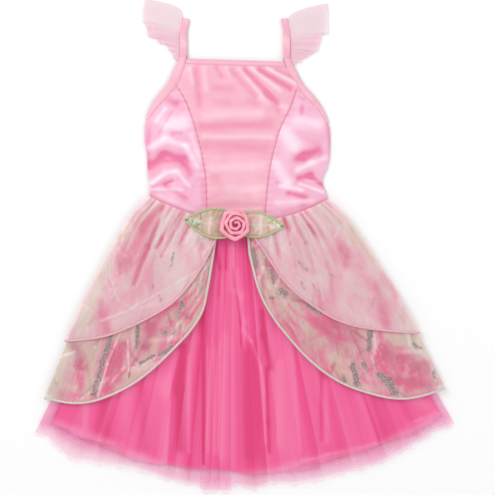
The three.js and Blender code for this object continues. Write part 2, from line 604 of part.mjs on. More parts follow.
// The way of a piece that folds over: up its front half, round the fold and down its back half.
// Each stop has its share of the way to the fold, how far past the fold it is, and its height and lean.
function foldOverStops(frontSteps, backSteps, backTop) {
  const stops = [];
  for (let i = 0; i < frontSteps; i += 1) {
    stops.push({ share: i / frontSteps, past: 0, lean: 0, front: true });
  }
  for (let i = 0; i <= SLEEVE.turnSteps; i += 1) {
    const lean = (Math.PI * i) / SLEEVE.turnSteps;
    stops.push({ share: 1, past: FOLD_RADIUS * Math.sin(lean), lean, front: false });
  }
  for (let i = 1; i <= backSteps; i += 1) {
    stops.push({ share: 1 - i / backSteps, past: 0, lean: Math.PI, front: false });
  }
  for (const stop of stops) stop.z = backTop + FOLD_RADIUS * (1 + Math.cos(stop.lean));
  return stops;
}

// A strap: a flat ribbon from the end of the armhole binding over the shoulder to the back
const strapX = (baseX, y) => (
  baseX - Math.sign(baseX) * STRAP.leanIn * ease(STRAP.leanFromY, STRAP.foldY, y));
function strap(name, baseX, frontY) {
  const stops = foldOverStops(STRAP.frontSteps, STRAP.backSteps, STRAP.thick);
  const level = bodiceLevel(baseX, frontY);
  const backY = BACK.neckY + SEAM_GAP;
  const grid = gridOf(stops.length - 1, 1, (a, b) => {
    const { share, past, front, z, lean } = stops[Math.round(a * (stops.length - 1))];
    const y = mix(lean === Math.PI ? backY : frontY, STRAP.foldY, share) + past;
    const x = strapX(baseX, y) + (b - 0.5) * STRAP.width;
    return point(x, y, front ? mix(level, z, share) : z);
  });
  const offsets = (i) => {
    const { lean } = stops[i % stops.length];
    return point(0, Math.sin(lean), Math.cos(lean)).multiplyScalar(STRAP.thick);
  };
  sew(name, wallOn(grid, offsets), BINDING_SATIN);
}
strap('strap_left', STRAP.leftX, SIDE_FOLD_LEFT[0].y + SEAM_GAP);
strap('strap_right', STRAP.rightX, SIDE_FOLD_RIGHT[0].y + SEAM_GAP);

// A flutter sleeve, gathered on to the strap and folded over with it. Its inner edge runs beside the
// strap, and its foot beside the armhole binding.
function flutterSleeve(name, side, baseX, outline, bulge, sideFold) {
  const rows = outline.map((row, i) => ({ share: i / (outline.length - 1), ...row }));
  const innerY = through(rows, 'share', 'innerY');
  const outerX = through(rows, 'share', 'outerX');
  const outerY = through(rows, 'share', 'outerY');
  const innerX = (y) => {
    const besideStrap = side * strapX(baseX, y) + STRAP.width / 2 + 2 * SEAM_GAP;
    const besideBinding = y < SIDE_FOLD_LEFT[0].y ? side * sideFold(y) + 2 * SEAM_GAP : 0;
    return side * Math.max(besideStrap, besideBinding);
  };
  const stops = foldOverStops(SLEEVE.columns, SLEEVE.columns / 2, SLEEVE.thick);
  const grid = gridOf(stops.length - 1, SLEEVE.rows, (a, b) => {
    const { share, past, front, z, lean } = stops[Math.round(a * (stops.length - 1))];
    const backReach = mix(SLEEVE.backReach, 1, ease(SLEEVE.backWidens, 1, share));
    const reach = b ** SLEEVE.rowCrowding * (lean === 0 ? 1 : backReach);
    const startX = innerX(innerY(share) + past);
    const rise = reach ** mix(1, bulge, share * share);
    const place = point(mix(startX, outerX(share), reach), mix(innerY(share), outerY(share), rise), z);
    place.y += past;
    if (front) {
      const gathers = mix(SLEEVE.gatherHeight, 1, b);
      const settles = ease(0, SLEEVE.footSettles, share) * ease(0, SLEEVE.foldSettles, 1 - share);
      place.z += SLEEVE.waveHeight * gathers * settles * wave(SLEEVE.waves * share);
    }
    return place;
  });
  const offsets = (i) => {
    const { lean } = stops[i % stops.length];
    return point(0, Math.sin(lean), Math.cos(lean)).multiplyScalar(SLEEVE.thick);
  };
  sew(name, wallOn(grid, offsets), SLEEVE_ORGANZA);
}
flutterSleeve('sleeve_left', -1, STRAP.leftX, SLEEVE_OUTLINES.left, SHOULDER_BULGE.left, sideLeft);
flutterSleeve('sleeve_right', 1, STRAP.rightX, SLEEVE_OUTLINES.right, SHOULDER_BULGE.right, sideRight);

// A leaf of sheer ribbon, bridging the step from the bodice to the skirt, and the cord round its edge:
// along one side to the tip, round it, and back along the other
const leafWidth = through(LEAF_WIDTHS, 'along', 'share');
function leaf(end) {
  const { tipX, tipY, rootX, rootY, halfWidth } = LEAF_AXES[end];
  const axis = point(rootX - tipX, rootY - tipY);
  const across = point(-axis.y, axis.x).normalize();
  const restAt = (p) => highestNear(p.x, p.y, LEAF.bridging) + LAY_GAP;
  const edgePoint = (along, sideways) => point(tipX, tipY).addScaledVector(axis, along)
    .addScaledVector(across, sideways * halfWidth * leafWidth(along));
  const grid = gridOf(LEAF.columns, LEAF.rows, (a, b) => edgePoint(a ** LEAF.tipCrowding, 2 * b - 1));
  for (const p of grid.points) p.z = restAt(p);

  const outwardAt = (along, sideways) => {
    const step = LEAF.slopeStep;
    const way = edgePoint(along + step, sideways).sub(edgePoint(Math.max(0, along - step), sideways));
    const side = point(-way.y, way.x).normalize();
    return side.dot(across) * sideways < 0 ? side.negate() : side;
  };
  const stations = [];
  const addStation = (foot, side) => {
    const place = foot.clone().addScaledVector(side, LEAF.cord / 2 + SEAM_GAP);
    place.z = restAt(foot);
    stations.push({ place, side });
  };
  const alongAt = (i) => LEAF.cordEnd * (1 - i / LEAF.cordStations);
  for (let i = 0; i < LEAF.cordStations; i += 1) {
    addStation(edgePoint(alongAt(i), 1), outwardAt(alongAt(i), 1));
  }
  const towardsTip = axis.clone().normalize().negate();
  const besideTip = outwardAt(0, 1);
  const tipAngle = Math.atan2(besideTip.dot(across), besideTip.dot(towardsTip));
  for (let i = 0; i <= LEAF.tipTurns; i += 1) {
    const turn = mix(1, -1, i / LEAF.tipTurns);
    const side = towardsTip.clone().multiplyScalar(Math.cos(turn * tipAngle))
      .addScaledVector(across, Math.sin(turn * tipAngle));
    addStation(edgePoint(0, turn), side);
  }
  for (let i = LEAF.cordStations - 1; i >= 0; i -= 1) {
    addStation(edgePoint(alongAt(i), -1), outwardAt(alongAt(i), -1));
  }
  sew(`leaf_${end}`, wallOn(grid, () => point(0, 0, LEAF.thick)), LEAF_ORGANZA);
  addToPile(grid.points.map((p) => point(p.x, p.y, p.z + LEAF.thick)), grid.triangles);
  const tube = tubeAlong(stations, LEAF.cord, LEAF.cord, LEAF.cordSides);
  sew(`leaf_edge_${end}`, closedMesh(tube.points, tube.triangles), GREEN_THREAD);
  addToPile(tube.points, tube.triangles);
}
leaf('left');
leaf('right');

// The rose: a ribbon on edge, wound in a spiral that is taller at its heart
function rose() {
  const base = highestNear(ROSE.x, ROSE.y, ROSE.outerRadius + ROSE.thick) + LAY_GAP;
  const steps = ROSE.turns * ROSE.stepsPerTurn;
  const radiusAt = (share) => mix(ROSE.outerRadius, ROSE.innerRadius, share);
  const directionAt = (share) => point(Math.cos(2 * Math.PI * ROSE.turns * share),
    Math.sin(2 * Math.PI * ROSE.turns * share));
  const grid = gridOf(steps, 2, (a, b) => {
    const radius = radiusAt(a) + ROSE.flare * b * b * Math.min(1, radiusAt(a) / ROSE.flareFrom);
    const place = directionAt(a).multiplyScalar(radius);
    return place.add(point(ROSE.x, ROSE.y, base + b * mix(ROSE.outerHeight, ROSE.innerHeight, a)));
  });
  const offsets = (i) => directionAt((i % (steps + 1)) / steps).multiplyScalar(-ROSE.thick);
  sew('rose', wallOn(grid, offsets), ROSE_RIBBON);
}
rose();

// The origin is on the floor, under the middle of the dress
const box = new THREE.Box3().setFromObject(dress);
const middle = box.getCenter(new THREE.Vector3());
dress.position.set(-middle.x, -middle.y, -box.min.z);

export default dress;
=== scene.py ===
"""A child's princess costume dress, laid flat on its back: the finished cloth, trimmings and stage."""

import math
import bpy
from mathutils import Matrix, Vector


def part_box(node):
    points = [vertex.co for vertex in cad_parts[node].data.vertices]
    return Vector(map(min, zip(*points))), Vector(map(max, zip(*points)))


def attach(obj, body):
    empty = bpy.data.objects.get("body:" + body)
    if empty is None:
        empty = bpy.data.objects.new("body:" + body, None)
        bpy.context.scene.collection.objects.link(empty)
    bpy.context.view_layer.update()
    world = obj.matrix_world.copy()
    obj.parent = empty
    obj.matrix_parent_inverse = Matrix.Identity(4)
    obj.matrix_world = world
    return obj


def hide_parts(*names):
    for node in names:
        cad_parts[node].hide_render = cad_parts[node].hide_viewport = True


bl_info = {
    "name": "Princess costume dress",
    "version": (1, 0, 0),
    "blender": (4, 5, 0),
    "location": "3D View > Sidebar > Dress",
    "description": "Makes the cloth, trimmings and stage of a costume dress that lies flat on its back",
    "category": "Object",
}

import bpy
import numpy as np
from bpy.props import FloatProperty, FloatVectorProperty, IntProperty, PointerProperty
from bpy.types import Operator, Panel, PropertyGroup
from mathutils import Vector
from mathutils.bvhtree import BVHTree

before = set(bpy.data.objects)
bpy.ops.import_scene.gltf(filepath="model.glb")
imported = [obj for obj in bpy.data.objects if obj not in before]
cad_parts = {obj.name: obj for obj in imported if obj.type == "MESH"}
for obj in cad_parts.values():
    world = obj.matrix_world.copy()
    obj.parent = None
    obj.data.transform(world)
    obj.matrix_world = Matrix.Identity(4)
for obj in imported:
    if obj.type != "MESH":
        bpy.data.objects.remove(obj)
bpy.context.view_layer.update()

# The layout: millimetres, with the middle of the waist seam at x = 0, y = 0, +Y towards the neck and
# +X to the right as seen from above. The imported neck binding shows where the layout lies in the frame.
MM = 0.001
NECK_BINDING_CORNER = (-76.0, 233.3)
_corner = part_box("neck_binding")[0]
SHIFT_X = _corner.x / MM - NECK_BINDING_CORNER[0]
SHIFT_Y = _corner.y / MM - NECK_BINDING_CORNER[1]
VIEW_MIDDLE = (17.25, -38.25)
VIEW_WIDTH = 742.5

# Millimetres: between pieces that are sewn edge to edge, between a sheet and what it lies on, the reach of
# a stroke's crisp side, and the radius of the straps' and sleeves' fold at the shoulder
SEAM_GAP = 0.06
LAY_GAP = 0.25
CRISP_EDGE = 1.3
FOLD_RADIUS = 0.9

# The cells in which a CAD piece's top is measured, and how far they reach past it, in millimetres
TOP_STEP = 4.0
TOP_MARGIN = 12

# The skirt fans out from the waist seam to the tulle's hem. On each fan line u runs from -1 at the
# left side fold to 1 at the right, and v from 0 at the waist to 1 at the hem.
WAIST = {"middle": 3.75, "half": 134.25, "left": 39, "left_power": 1.8, "right": 34.5, "right_power": 2.2}
HEM = {"middle": 15, "half": 319.5, "lowest": -402, "left_rise": 81, "right_rise": 99}
LINING = {"edge": 0.955, "hem": 0.937}
CORNER = {"upper": 0.6, "lower": 0.839}
# How much shorter the backs of the overskirts and the tulle are, as a share of the skirt's length
BACK_SHORTER = 0.012
SIDE_ROUNDING = 60
# The height, far above the waist, that the lines of the small creases fan out from
FAN_TOP = 520
SIGN = {"left": -1, "right": 1}

# How far the overskirts stand out past the tulle at the sides: v, upper, lower
OVERSKIRT_SPREAD = [(0, 0, 0), (0.09, 16, 12), (0.2, 20, 16), (0.45, 24, 20), (0.6, 22, 18), (0.84, 12, 11)]

# The overskirts' open front edges, from near the middle of the waist to the side corner: u, v
FRONT_EDGES = {
    "lower_left": [
        (0.235, 0.09), (0.25, 0.22), (0.27, 0.33), (0.32, 0.4), (0.42, 0.494), (0.635, 0.68),
        (0.845, 0.8), (1, CORNER["lower"]),
    ],
    "lower_right": [
        (0.1, 0.12), (0.15, 0.257), (0.215, 0.347), (0.31, 0.447), (0.412, 0.546), (0.525, 0.637),
        (0.638, 0.706), (0.83, 0.8), (1, CORNER["lower"]),
    ],
    "upper_left": [
        (0.22, 0.06), (0.295, 0.156), (0.393, 0.258), (0.472, 0.326), (0.593, 0.4), (0.708, 0.466),
        (0.808, 0.52), (1, CORNER["upper"]),
    ],
    "upper_right": [
        (0.15, 0.05), (0.24, 0.124), (0.313, 0.203), (0.39, 0.27), (0.506, 0.348), (0.608, 0.414),
        (0.72, 0.468), (0.829, 0.512), (1, CORNER["upper"] - 0.01),
    ],
}

# The bodice: side folds, princess seams and the inner edges of the armhole bindings: y, x
SIDE_FOLD_LEFT = [
    (250, -84), (241, -88), (226, -95.3), (210.8, -102), (195.3, -114), (181.5, -124.5), (168, -131.4),
    (156, -135.3), (128.4, -138.5), (100, -134), (73.5, -133), (51, -129), (39, -130.5),
]
SIDE_FOLD_RIGHT = [
    (248, 80.5), (236.5, 85.5), (226, 90.8), (212.4, 97.5), (198, 109.5), (185.5, 120.6), (169.5, 130.5),
    (152, 138), (120, 142.8), (98.5, 140), (83.5, 136.8), (63, 129), (51.3, 132.5), (34.5, 138),
]
ARMHOLE_LEFT = [
    (250, -74.5), (240, -76), (226, -80.5), (212, -86), (195, -97.5), (181.5, -109.5), (166.5, -123),
    (153.5, -133), (148, -138),
]
ARMHOLE_RIGHT = [
    (248, 71.5), (236, 74.5), (222.8, 80.5), (210.8, 89), (194, 99.5), (180, 112), (167, 125.5), (149, 136),
    (143, 141),
]
PRINCESS_LEFT = [
    (204, -89), (189, -80), (174.6, -72.9), (138.5, -60.9), (100, -51.5), (57, -45), (5, -43.5),
]
PRINCESS_RIGHT = [
    (202, 92), (188, 87.5), (172.8, 82), (138.5, 66.6), (105, 56.5), (57, 48), (3, 43.5),
]
NECK_EDGE = ((-76, 238), (74.8, 233))
NECK_BINDING_TOP = ((-74.3, 246), (72, 241.5))
BACK_NECK_Y = 214
SEAM_TOP = {"left": 204, "right": 202}
UNDERARM = {"left": 153.5, "right": 149}
STRAP = {"width": 9.5, "fold_y": 305, "left": -79.2, "right": 76.2, "lean_in": 3.5, "lean_from": 285}

# The flutter sleeves: the strap's height where each gather starts, and where it ends outside: y, x, y
SLEEVE_OUTLINES = {
    "left": [
        (243, -90.3, 242.6), (247, -94.5, 246.6), (252, -97.5, 256), (256, -102, 258.6), (261, -105.9, 268.7),
        (265, -117.3, 269.4), (270, -120.8, 277.8), (275, -132.5, 278.1), (281, -135, 291.5),
        (285, -137.1, 298.5), (288, -142.2, 301), (295, -141, 319.5), (301, -137.5, 335),
    ],
    "right": [
        (238, 87, 236.6), (241, 90.6, 240), (244, 96, 241.5), (247, 101.4, 246.6), (250, 106.5, 248),
        (253, 110.7, 252), (256, 114, 252.5), (259, 116.7, 256), (262, 120.8, 257), (267, 125.4, 267.5),
        (272, 127.5, 276), (276, 129.5, 283.2), (281, 137.5, 283.6), (287, 137.9, 299.6), (293, 138, 319.5),
        (299, 137.6, 328.7),
    ],
}
SHOULDER_BULGE = {"left": 0.22, "right": 0.36}

# The leaves: x and y of the tip and of the root, and half the width; how wide they are along the way; and
# what sets each one's cast apart: its lightness, its pinkness and the area of its cut
LEAF_AXES = {"left": (-74.5, 3, -9, -4, 20.4), "right": (69.5, -6, 9, -3, 17)}
LEAF_CASTS = {"left": (-0.32, 0.4, 0.0021), "right": (0.15, 0.65, 0.0017)}
LEAF_WIDTHS = [(0, 0.04), (0.22, 0.49), (0.49, 0.88), (0.67, 1), (0.88, 0.92), (1, 0.8)]
LEAF_CORD_END = 0.97
ROSE = {"x": 0.3, "y": -4.2, "outer": 20.4, "inner": 0.8, "turns": 3.3, "petals": 5.4}

# The overskirts, from the one that is laid first: finish, slot and sizes of its cloth and edging. The cut is
# width and length in metres, and the share is how much of that rectangle is cloth.
OVERSKIRTS = {
    "lower": {
        "finish": "film", "slot": "film_organza", "side_cut": (0.32, 0.34), "back_cut": (0.68, 0.37),
        "back_share": 0.72, "back_height": 0.5, "back_fold": 1, "back_seed": 6, "side_seed": 13,
        "crinkles": 130, "crinkle_width": 2.6, "crinkle_shading_share": 0.9, "fold_cream": {"left": 0.7, "right": 0.15},
        "edge_finish": "silver", "edge_slot": "silver_thread", "edge_width": 3.1, "edge_thick": 1.4,
        "edge_spacing": 1,
    },
    "upper": {
        "finish": "organza", "slot": "pink_organza", "side_cut": (0.27, 0.23), "back_cut": (0.6, 0.27),
        "back_share": 0.74, "back_height": 0.15, "back_fold": 0.25, "back_seed": 5, "side_seed": 11,
        "crinkles": 60, "crinkle_width": 4, "crinkle_shading_share": 0.4, "fold_cream": {"left": 0.15, "right": 0.15},
        "edge_finish": "pink_thread", "edge_slot": "pink_thread", "edge_width": 3.0, "edge_thick": 1.3,
        "edge_spacing": 1.25,
    },
}
SIDE_SHARE = 0.52

# The cut of each bodice panel: width, length and area
BODICE_CUTS = {
    "bodice_front_centre": (0.19, 0.24, 0.0295), "bodice_front_left": (0.1, 0.2, 0.0133),
    "bodice_front_right": (0.1, 0.2, 0.0134), "bodice_back_left": (0.142, 0.214, 0.0265),
    "bodice_back_right": (0.142, 0.214, 0.0262),
}

# The stage's soft lights: place, size and power
LIGHTS = {
    "key": ((-0.9, 0.8, 1.5), 1.0, 15.0), "fill": ((1.3, 0.2, 1.3), 1.2, 6.0),
    "foot": ((0.2, -1.5, 1.1), 0.9, 3.5),
}
WORLD_LIGHT = 0.62
FLOOR_HALF = 4
FLOOR_Z = -0.0006

# The tulle's hem: x, y
TULLE_HEM = [
    (-304.5, -321), (-285.3, -327), (-267, -343.5), (-244.5, -359.4), (-217.5, -363), (-183, -369),
    (-160.5, -371.2), (-118.5, -384), (-93, -391.5), (-57, -397.5), (-51, -408), (-12, -408), (-3, -397.5),
    (27, -403.5), (42.8, -399), (50.4, -393.9), (88.5, -396), (126.9, -390), (165, -378.6), (203.4, -369),
    (234, -355.5), (261, -340.5), (306, -315), (320.2, -310), (333.9, -302.5),
]

# Where the deep pink under the tulle gives way to the pale net: x, y
DEEP_PINK_ENDS = [
    (-320, -286), (-281, -299), (-240, -314), (-204, -327), (-172, -342), (-100, -371), (-57, -379),
    (0, -384), (40, -379), (95, -364), (168, -351), (213, -339), (251, -319), (311, -288), (340, -276),
]

# The tulle's folds: where each meets the hem (x), how far it laps over the next, and its painted shading
TULLE_FOLDS = [
    (-318, 0.1, 0.2), (-286, 0.14, -0.1), (-262, 0.2, 0.1), (-219, 0.16, 0.3), (-205, 0.2, -0.2),
    (-172, 0.22, 0.1), (-153, 0.16, 0.3), (-118, 0.26, -0.5), (-95, 0.3, 0.35), (-71, 0.3, -0.6),
    (-52, 0.3, 0.4), (-39, 0.3, 0.2), (-25, 0.32, -0.2), (-8, 0.3, 0.45), (17, 0.26, -0.3), (41, 0.3, -0.7),
    (56, 0.3, 0.35), (84, 0.2, 0.3), (120, 0.26, -0.3), (142, 0.2, 0.25), (166, 0.22, 0.1), (190, 0.16, 0.35),
    (216, 0.28, -0.4), (240, 0.2, 0.3), (268, 0.18, -0.1), (300, 0.12, 0.2), (330, 0.1, 0),
]

# Soft strokes on the cloth. Each is a line from x, y to x, y with its width and height in millimetres,
# and what it does to the finish: its painted shading from deep to light (painted shade and painted
# highlight), its cream, and its silver glint, which is a painted reflection. What is left off at the end of a
# row is 0, and a negative width makes the left side crisp, as seen along the stroke. The tulle's are its
# folds with painted highlights, its valleys with painted shade, and the hem of its upper layer.
TULLE_STROKES = [
    # Middle, from the waist down
    (-31, -33, -24, -69, 4, -0.4, -0.8), (-24, -69, -26, -110, 3, -0.3, -0.4),
    (-14.6, -34, -15, -69, 2.5, -0.4, -0.7), (-20, -60, -18, -170, -4, 0.3, 0.3),
    (-7, -40, -7, -100, 5, 0.4, 0.5), (-4.6, -72, -3, -99, 1.8, -0.3, -0.9),
    (11, -184.5, 9.5, -151.5, -9, 0.4, 0.55), (9.5, -151.5, 4.5, -112, -9, 0.4, 0.55),
    (4.5, -112, -0.5, -75.6, -7, 0.4, 0.55), (8, -184, 6.5, -151, 1.6, -0.4, -0.7),
    (6.5, -151, 2, -112, 1.6, -0.4, -0.7), (10, -162, 24, -179, 3, 0.5, 0.7),
    (24, -179, 38.6, -219, -3.5, 0.5, 0.7), (38.6, -219, 43, -256, -3.5, 0.5, 0.7),
    (43, -256, 45, -330, -3.5, 0.4, 0.5), (46, -219, 48, -300, 2.5, -0.6, -1),
    (48, -300, 50, -345, 3, -0.5, -0.9), (40, -135, 42, -170, 5, -0.6, -0.9),
    (42, -170, 53, -219, 5, -0.6, -0.9), (20, -190, 24, -345, 14, -0.2, -0.5),
    (-26, -350, -24, -180, -13, 0.4, 0.65), (-34, -345, -34, -190, -5, 0.3, 0.45),
    # Left
    (-48.7, -150, -48.7, -362, 2, -0.7, -1.5), (-43, -345, -43, -190, -3, 0.4, 0.5),
    (-72, -345, -72, -200, -4, 0.4, 0.6), (-80, -188, -86, -250, 7, -0.5, -0.9),
    (-84, -250, -84, -340, 7, -0.5, -0.9), (-86, -195, -98, -248, -16, 0.5, 0.8),
    (-98, -248, -104, -360, -18, 0.5, 0.8), (-50, -130, -50, -165, 5, -0.5, -0.7),
    (-163, -250, -165, -330, 11, 0.3, 0.4), (-197, -250, -200, -318, 13, 0, -0.5),
    (-227, -250, -226, -308, 5, 0.3, 0.5), (-140, -250, -138, -340, 7, 0, -0.35),
    (-243, -323, -170, -339, 2, 0, -0.5), (-243, -320, -170, -335.5, 1.4, 0, 0.5),
    # Right
    (62, -335, 62, -215, -9, 0.4, 0.5), (85, -180, 97, -340, -24, 0, 0.5),
    (128, -228, 128, -327, 2.5, -0.4, -0.6), (135, -240, 137, -330, 4, 0.3, 0.4),
    (190, -262, 213, -332, -16, 0.4, 0.5), (204, -265, 228, -330, 9, -0.4, -0.6),
    (270, -262, 297, -282, 9, 0, 0.5), (98, -359, 210.6, -333, 1.6, 0.3, 0.9),
    (100, -363.5, 212, -338, 3, 0, -0.5), (256.8, -303, 304.7, -286.5, 1.6, 0.3, 0.8),
]

# The satin's strokes are creases, each with painted highlight on its ridge and painted shade in its trough
SATIN_CENTRE_STROKES = [
    # Pulled folds from the neck binding down to the right armhole
    (-6, 228, 30, 187.5, 4.2, -1, -0.45), (6, 229.5, 39, 190.5, 3.4, 0.92, 0.59),
    (13.5, 229.5, 64.5, 177, 4.2, -1.5, -0.98), (24, 231, 66, 198, 3.8, 1.3, 0.78),
    (34.5, 229.5, 82.5, 201, 4.2, -1.6, -1.1), (48, 231, 90, 208.5, 3.4, 1.1, 0.85),
    (60, 229.5, 88.5, 217.5, 3, -0.92, -0.65), (39, 186, 75, 171, 5.1, 0.92, 0.59),
    (45, 193.5, 64.5, 168, 5.1, -0.8, -0.65),
    # Small gathers under the neck binding
    (-69, 231, -64.5, 207, 2.5, 0.69, 0.45), (-60, 232.5, -54, 177, 6, -0.8, -0.65),
    (-46.5, 231, -45, 201, 3.4, 0.57, 0.39), (-30, 232.5, -21, 219, 3.4, -0.69, -0.59),
    (-15, 232.5, -9, 219, 2.5, 0.57, 0.39),
    # Soft bands across: low rises with painted highlight and painted shade
    (-42, 159, 39, 163.5, 7.6, 0.92, 0.45), (-51, 142.5, 51, 147, 7.6, -0.92, -0.65),
    (-46.5, 127.5, 54, 127.5, 4.2, 1, 0.52), (-45, 114, 45, 111, 9.3, -1.1, -0.6),
    (-31.5, 201, -6, 199.5, 6.8, -0.46, -0.39), (-30, 181.5, -12, 180, 6, -0.34, -0.33),
    (21, 181.5, 31.5, 178.5, 6, -0.34, -0.39), (-36, 81, 39, 84, 8.5, 0.69, 0.45),
    (-36, 69, -24, 69, 4.2, -0.34, -0.26), (-12, 49.5, 39, 51, 8.5, 0.57, 0.45),
    (-39, 25.5, 39, 27, 5.1, -0.46, -0.33), (-33, 16.5, 36, 19.5, 2.5, 0.46, 0.39),
]
SATIN_SIDE_STROKES = [
    # Left side
    (-102, 144, -79.5, 150, 11, 1, 1.1), (-99, 183, -90, 178.5, 6.8, -0.69, -0.88),
    (-120, 150, -105, 171, 3.4, 0.69, 0.62), (-114, 135, -96, 165, 3, -0.46, -0.44),
    (-96, 133.5, -82.5, 133.5, 3.4, -0.57, -0.56), (-129, 111, -105, 124.5, 5.1, 1, 0.94),
    (-105, 124.5, -75, 114, 5.1, 1, 1), (-75, 114, -58.5, 84, 4.2, 0.92, 0.75),
    (-126, 85.5, -108, 97.5, 8.5, -1.4, -1.2), (-108, 100.5, -81, 93, 8.5, -1.5, -1.2),
    (-78, 93, -69, 72, 6, -0.92, -0.75), (-127.5, 57, -106.5, 72, 3, 1.6, 1.1),
    (-106.5, 73.5, -88.5, 76.5, 3.4, 1.5, 1.1), (-88.5, 75, -70.5, 54, 3, 1.1, 0.75),
    (-124.5, 52.5, -96, 61.5, 3.4, -1, -0.75), (-126, 49.5, -81, 48, 2.5, 1, 0.62),
    (-105, 54, -75, 34.5, 4.2, -0.69, -0.56), (-114, 37.5, -54, 12, 4.2, 0.57, 0.31),
    (-130.5, 138, -132, 84, 4.2, -0.57, -0.5), (-67.5, 130.5, -54, 93, 3.4, 0.46, 0.5),
    (-49.5, 63, -48, 25.5, 4.2, -0.46, -0.44),
    # Right side
    (73.5, 135, 87, 114, 12, 1, 1.1), (61.5, 87, 75, 60, 9.3, 0.8, 0.88),
    (99, 172.5, 99, 165, 4.2, -0.69, -0.75), (96, 187.5, 102, 184.5, 3.4, -0.46, -0.44),
    (93, 153, 123, 147, 9.3, 0.8, 0.81), (91.5, 96, 102, 99, 6.8, -1.1, -1),
    (102, 99, 124.5, 106.5, 7.6, -1.3, -1.1), (93, 78, 114, 88.5, 4.2, 1.3, 0.94),
    (114, 88.5, 133.5, 96, 4.2, 1, 0.75), (94.5, 66, 114, 72, 5.1, -1.3, -0.94),
    (111, 69, 133.5, 54, 3.8, -1.4, -1.1), (97.5, 57, 130.5, 45, 2.5, 1.4, 0.88),
    (129, 61.5, 108, 61.5, 2.5, 0.8, 0.38), (79.5, 43.5, 105, 37.5, 4.2, -1, -0.88),
    (67.5, 54, 99, 48, 3.4, 1, 0.94), (61.5, 28.5, 114, 31.5, 4.2, 0.69, 0.56),
    (61.5, 60, 67.5, 57, 3.4, -0.46, -0.56), (138, 153, 142.5, 93, 3.4, -0.46, -0.56),
    (70.5, 15, 105, 25.5, 3.4, -0.46, -0.38),
]
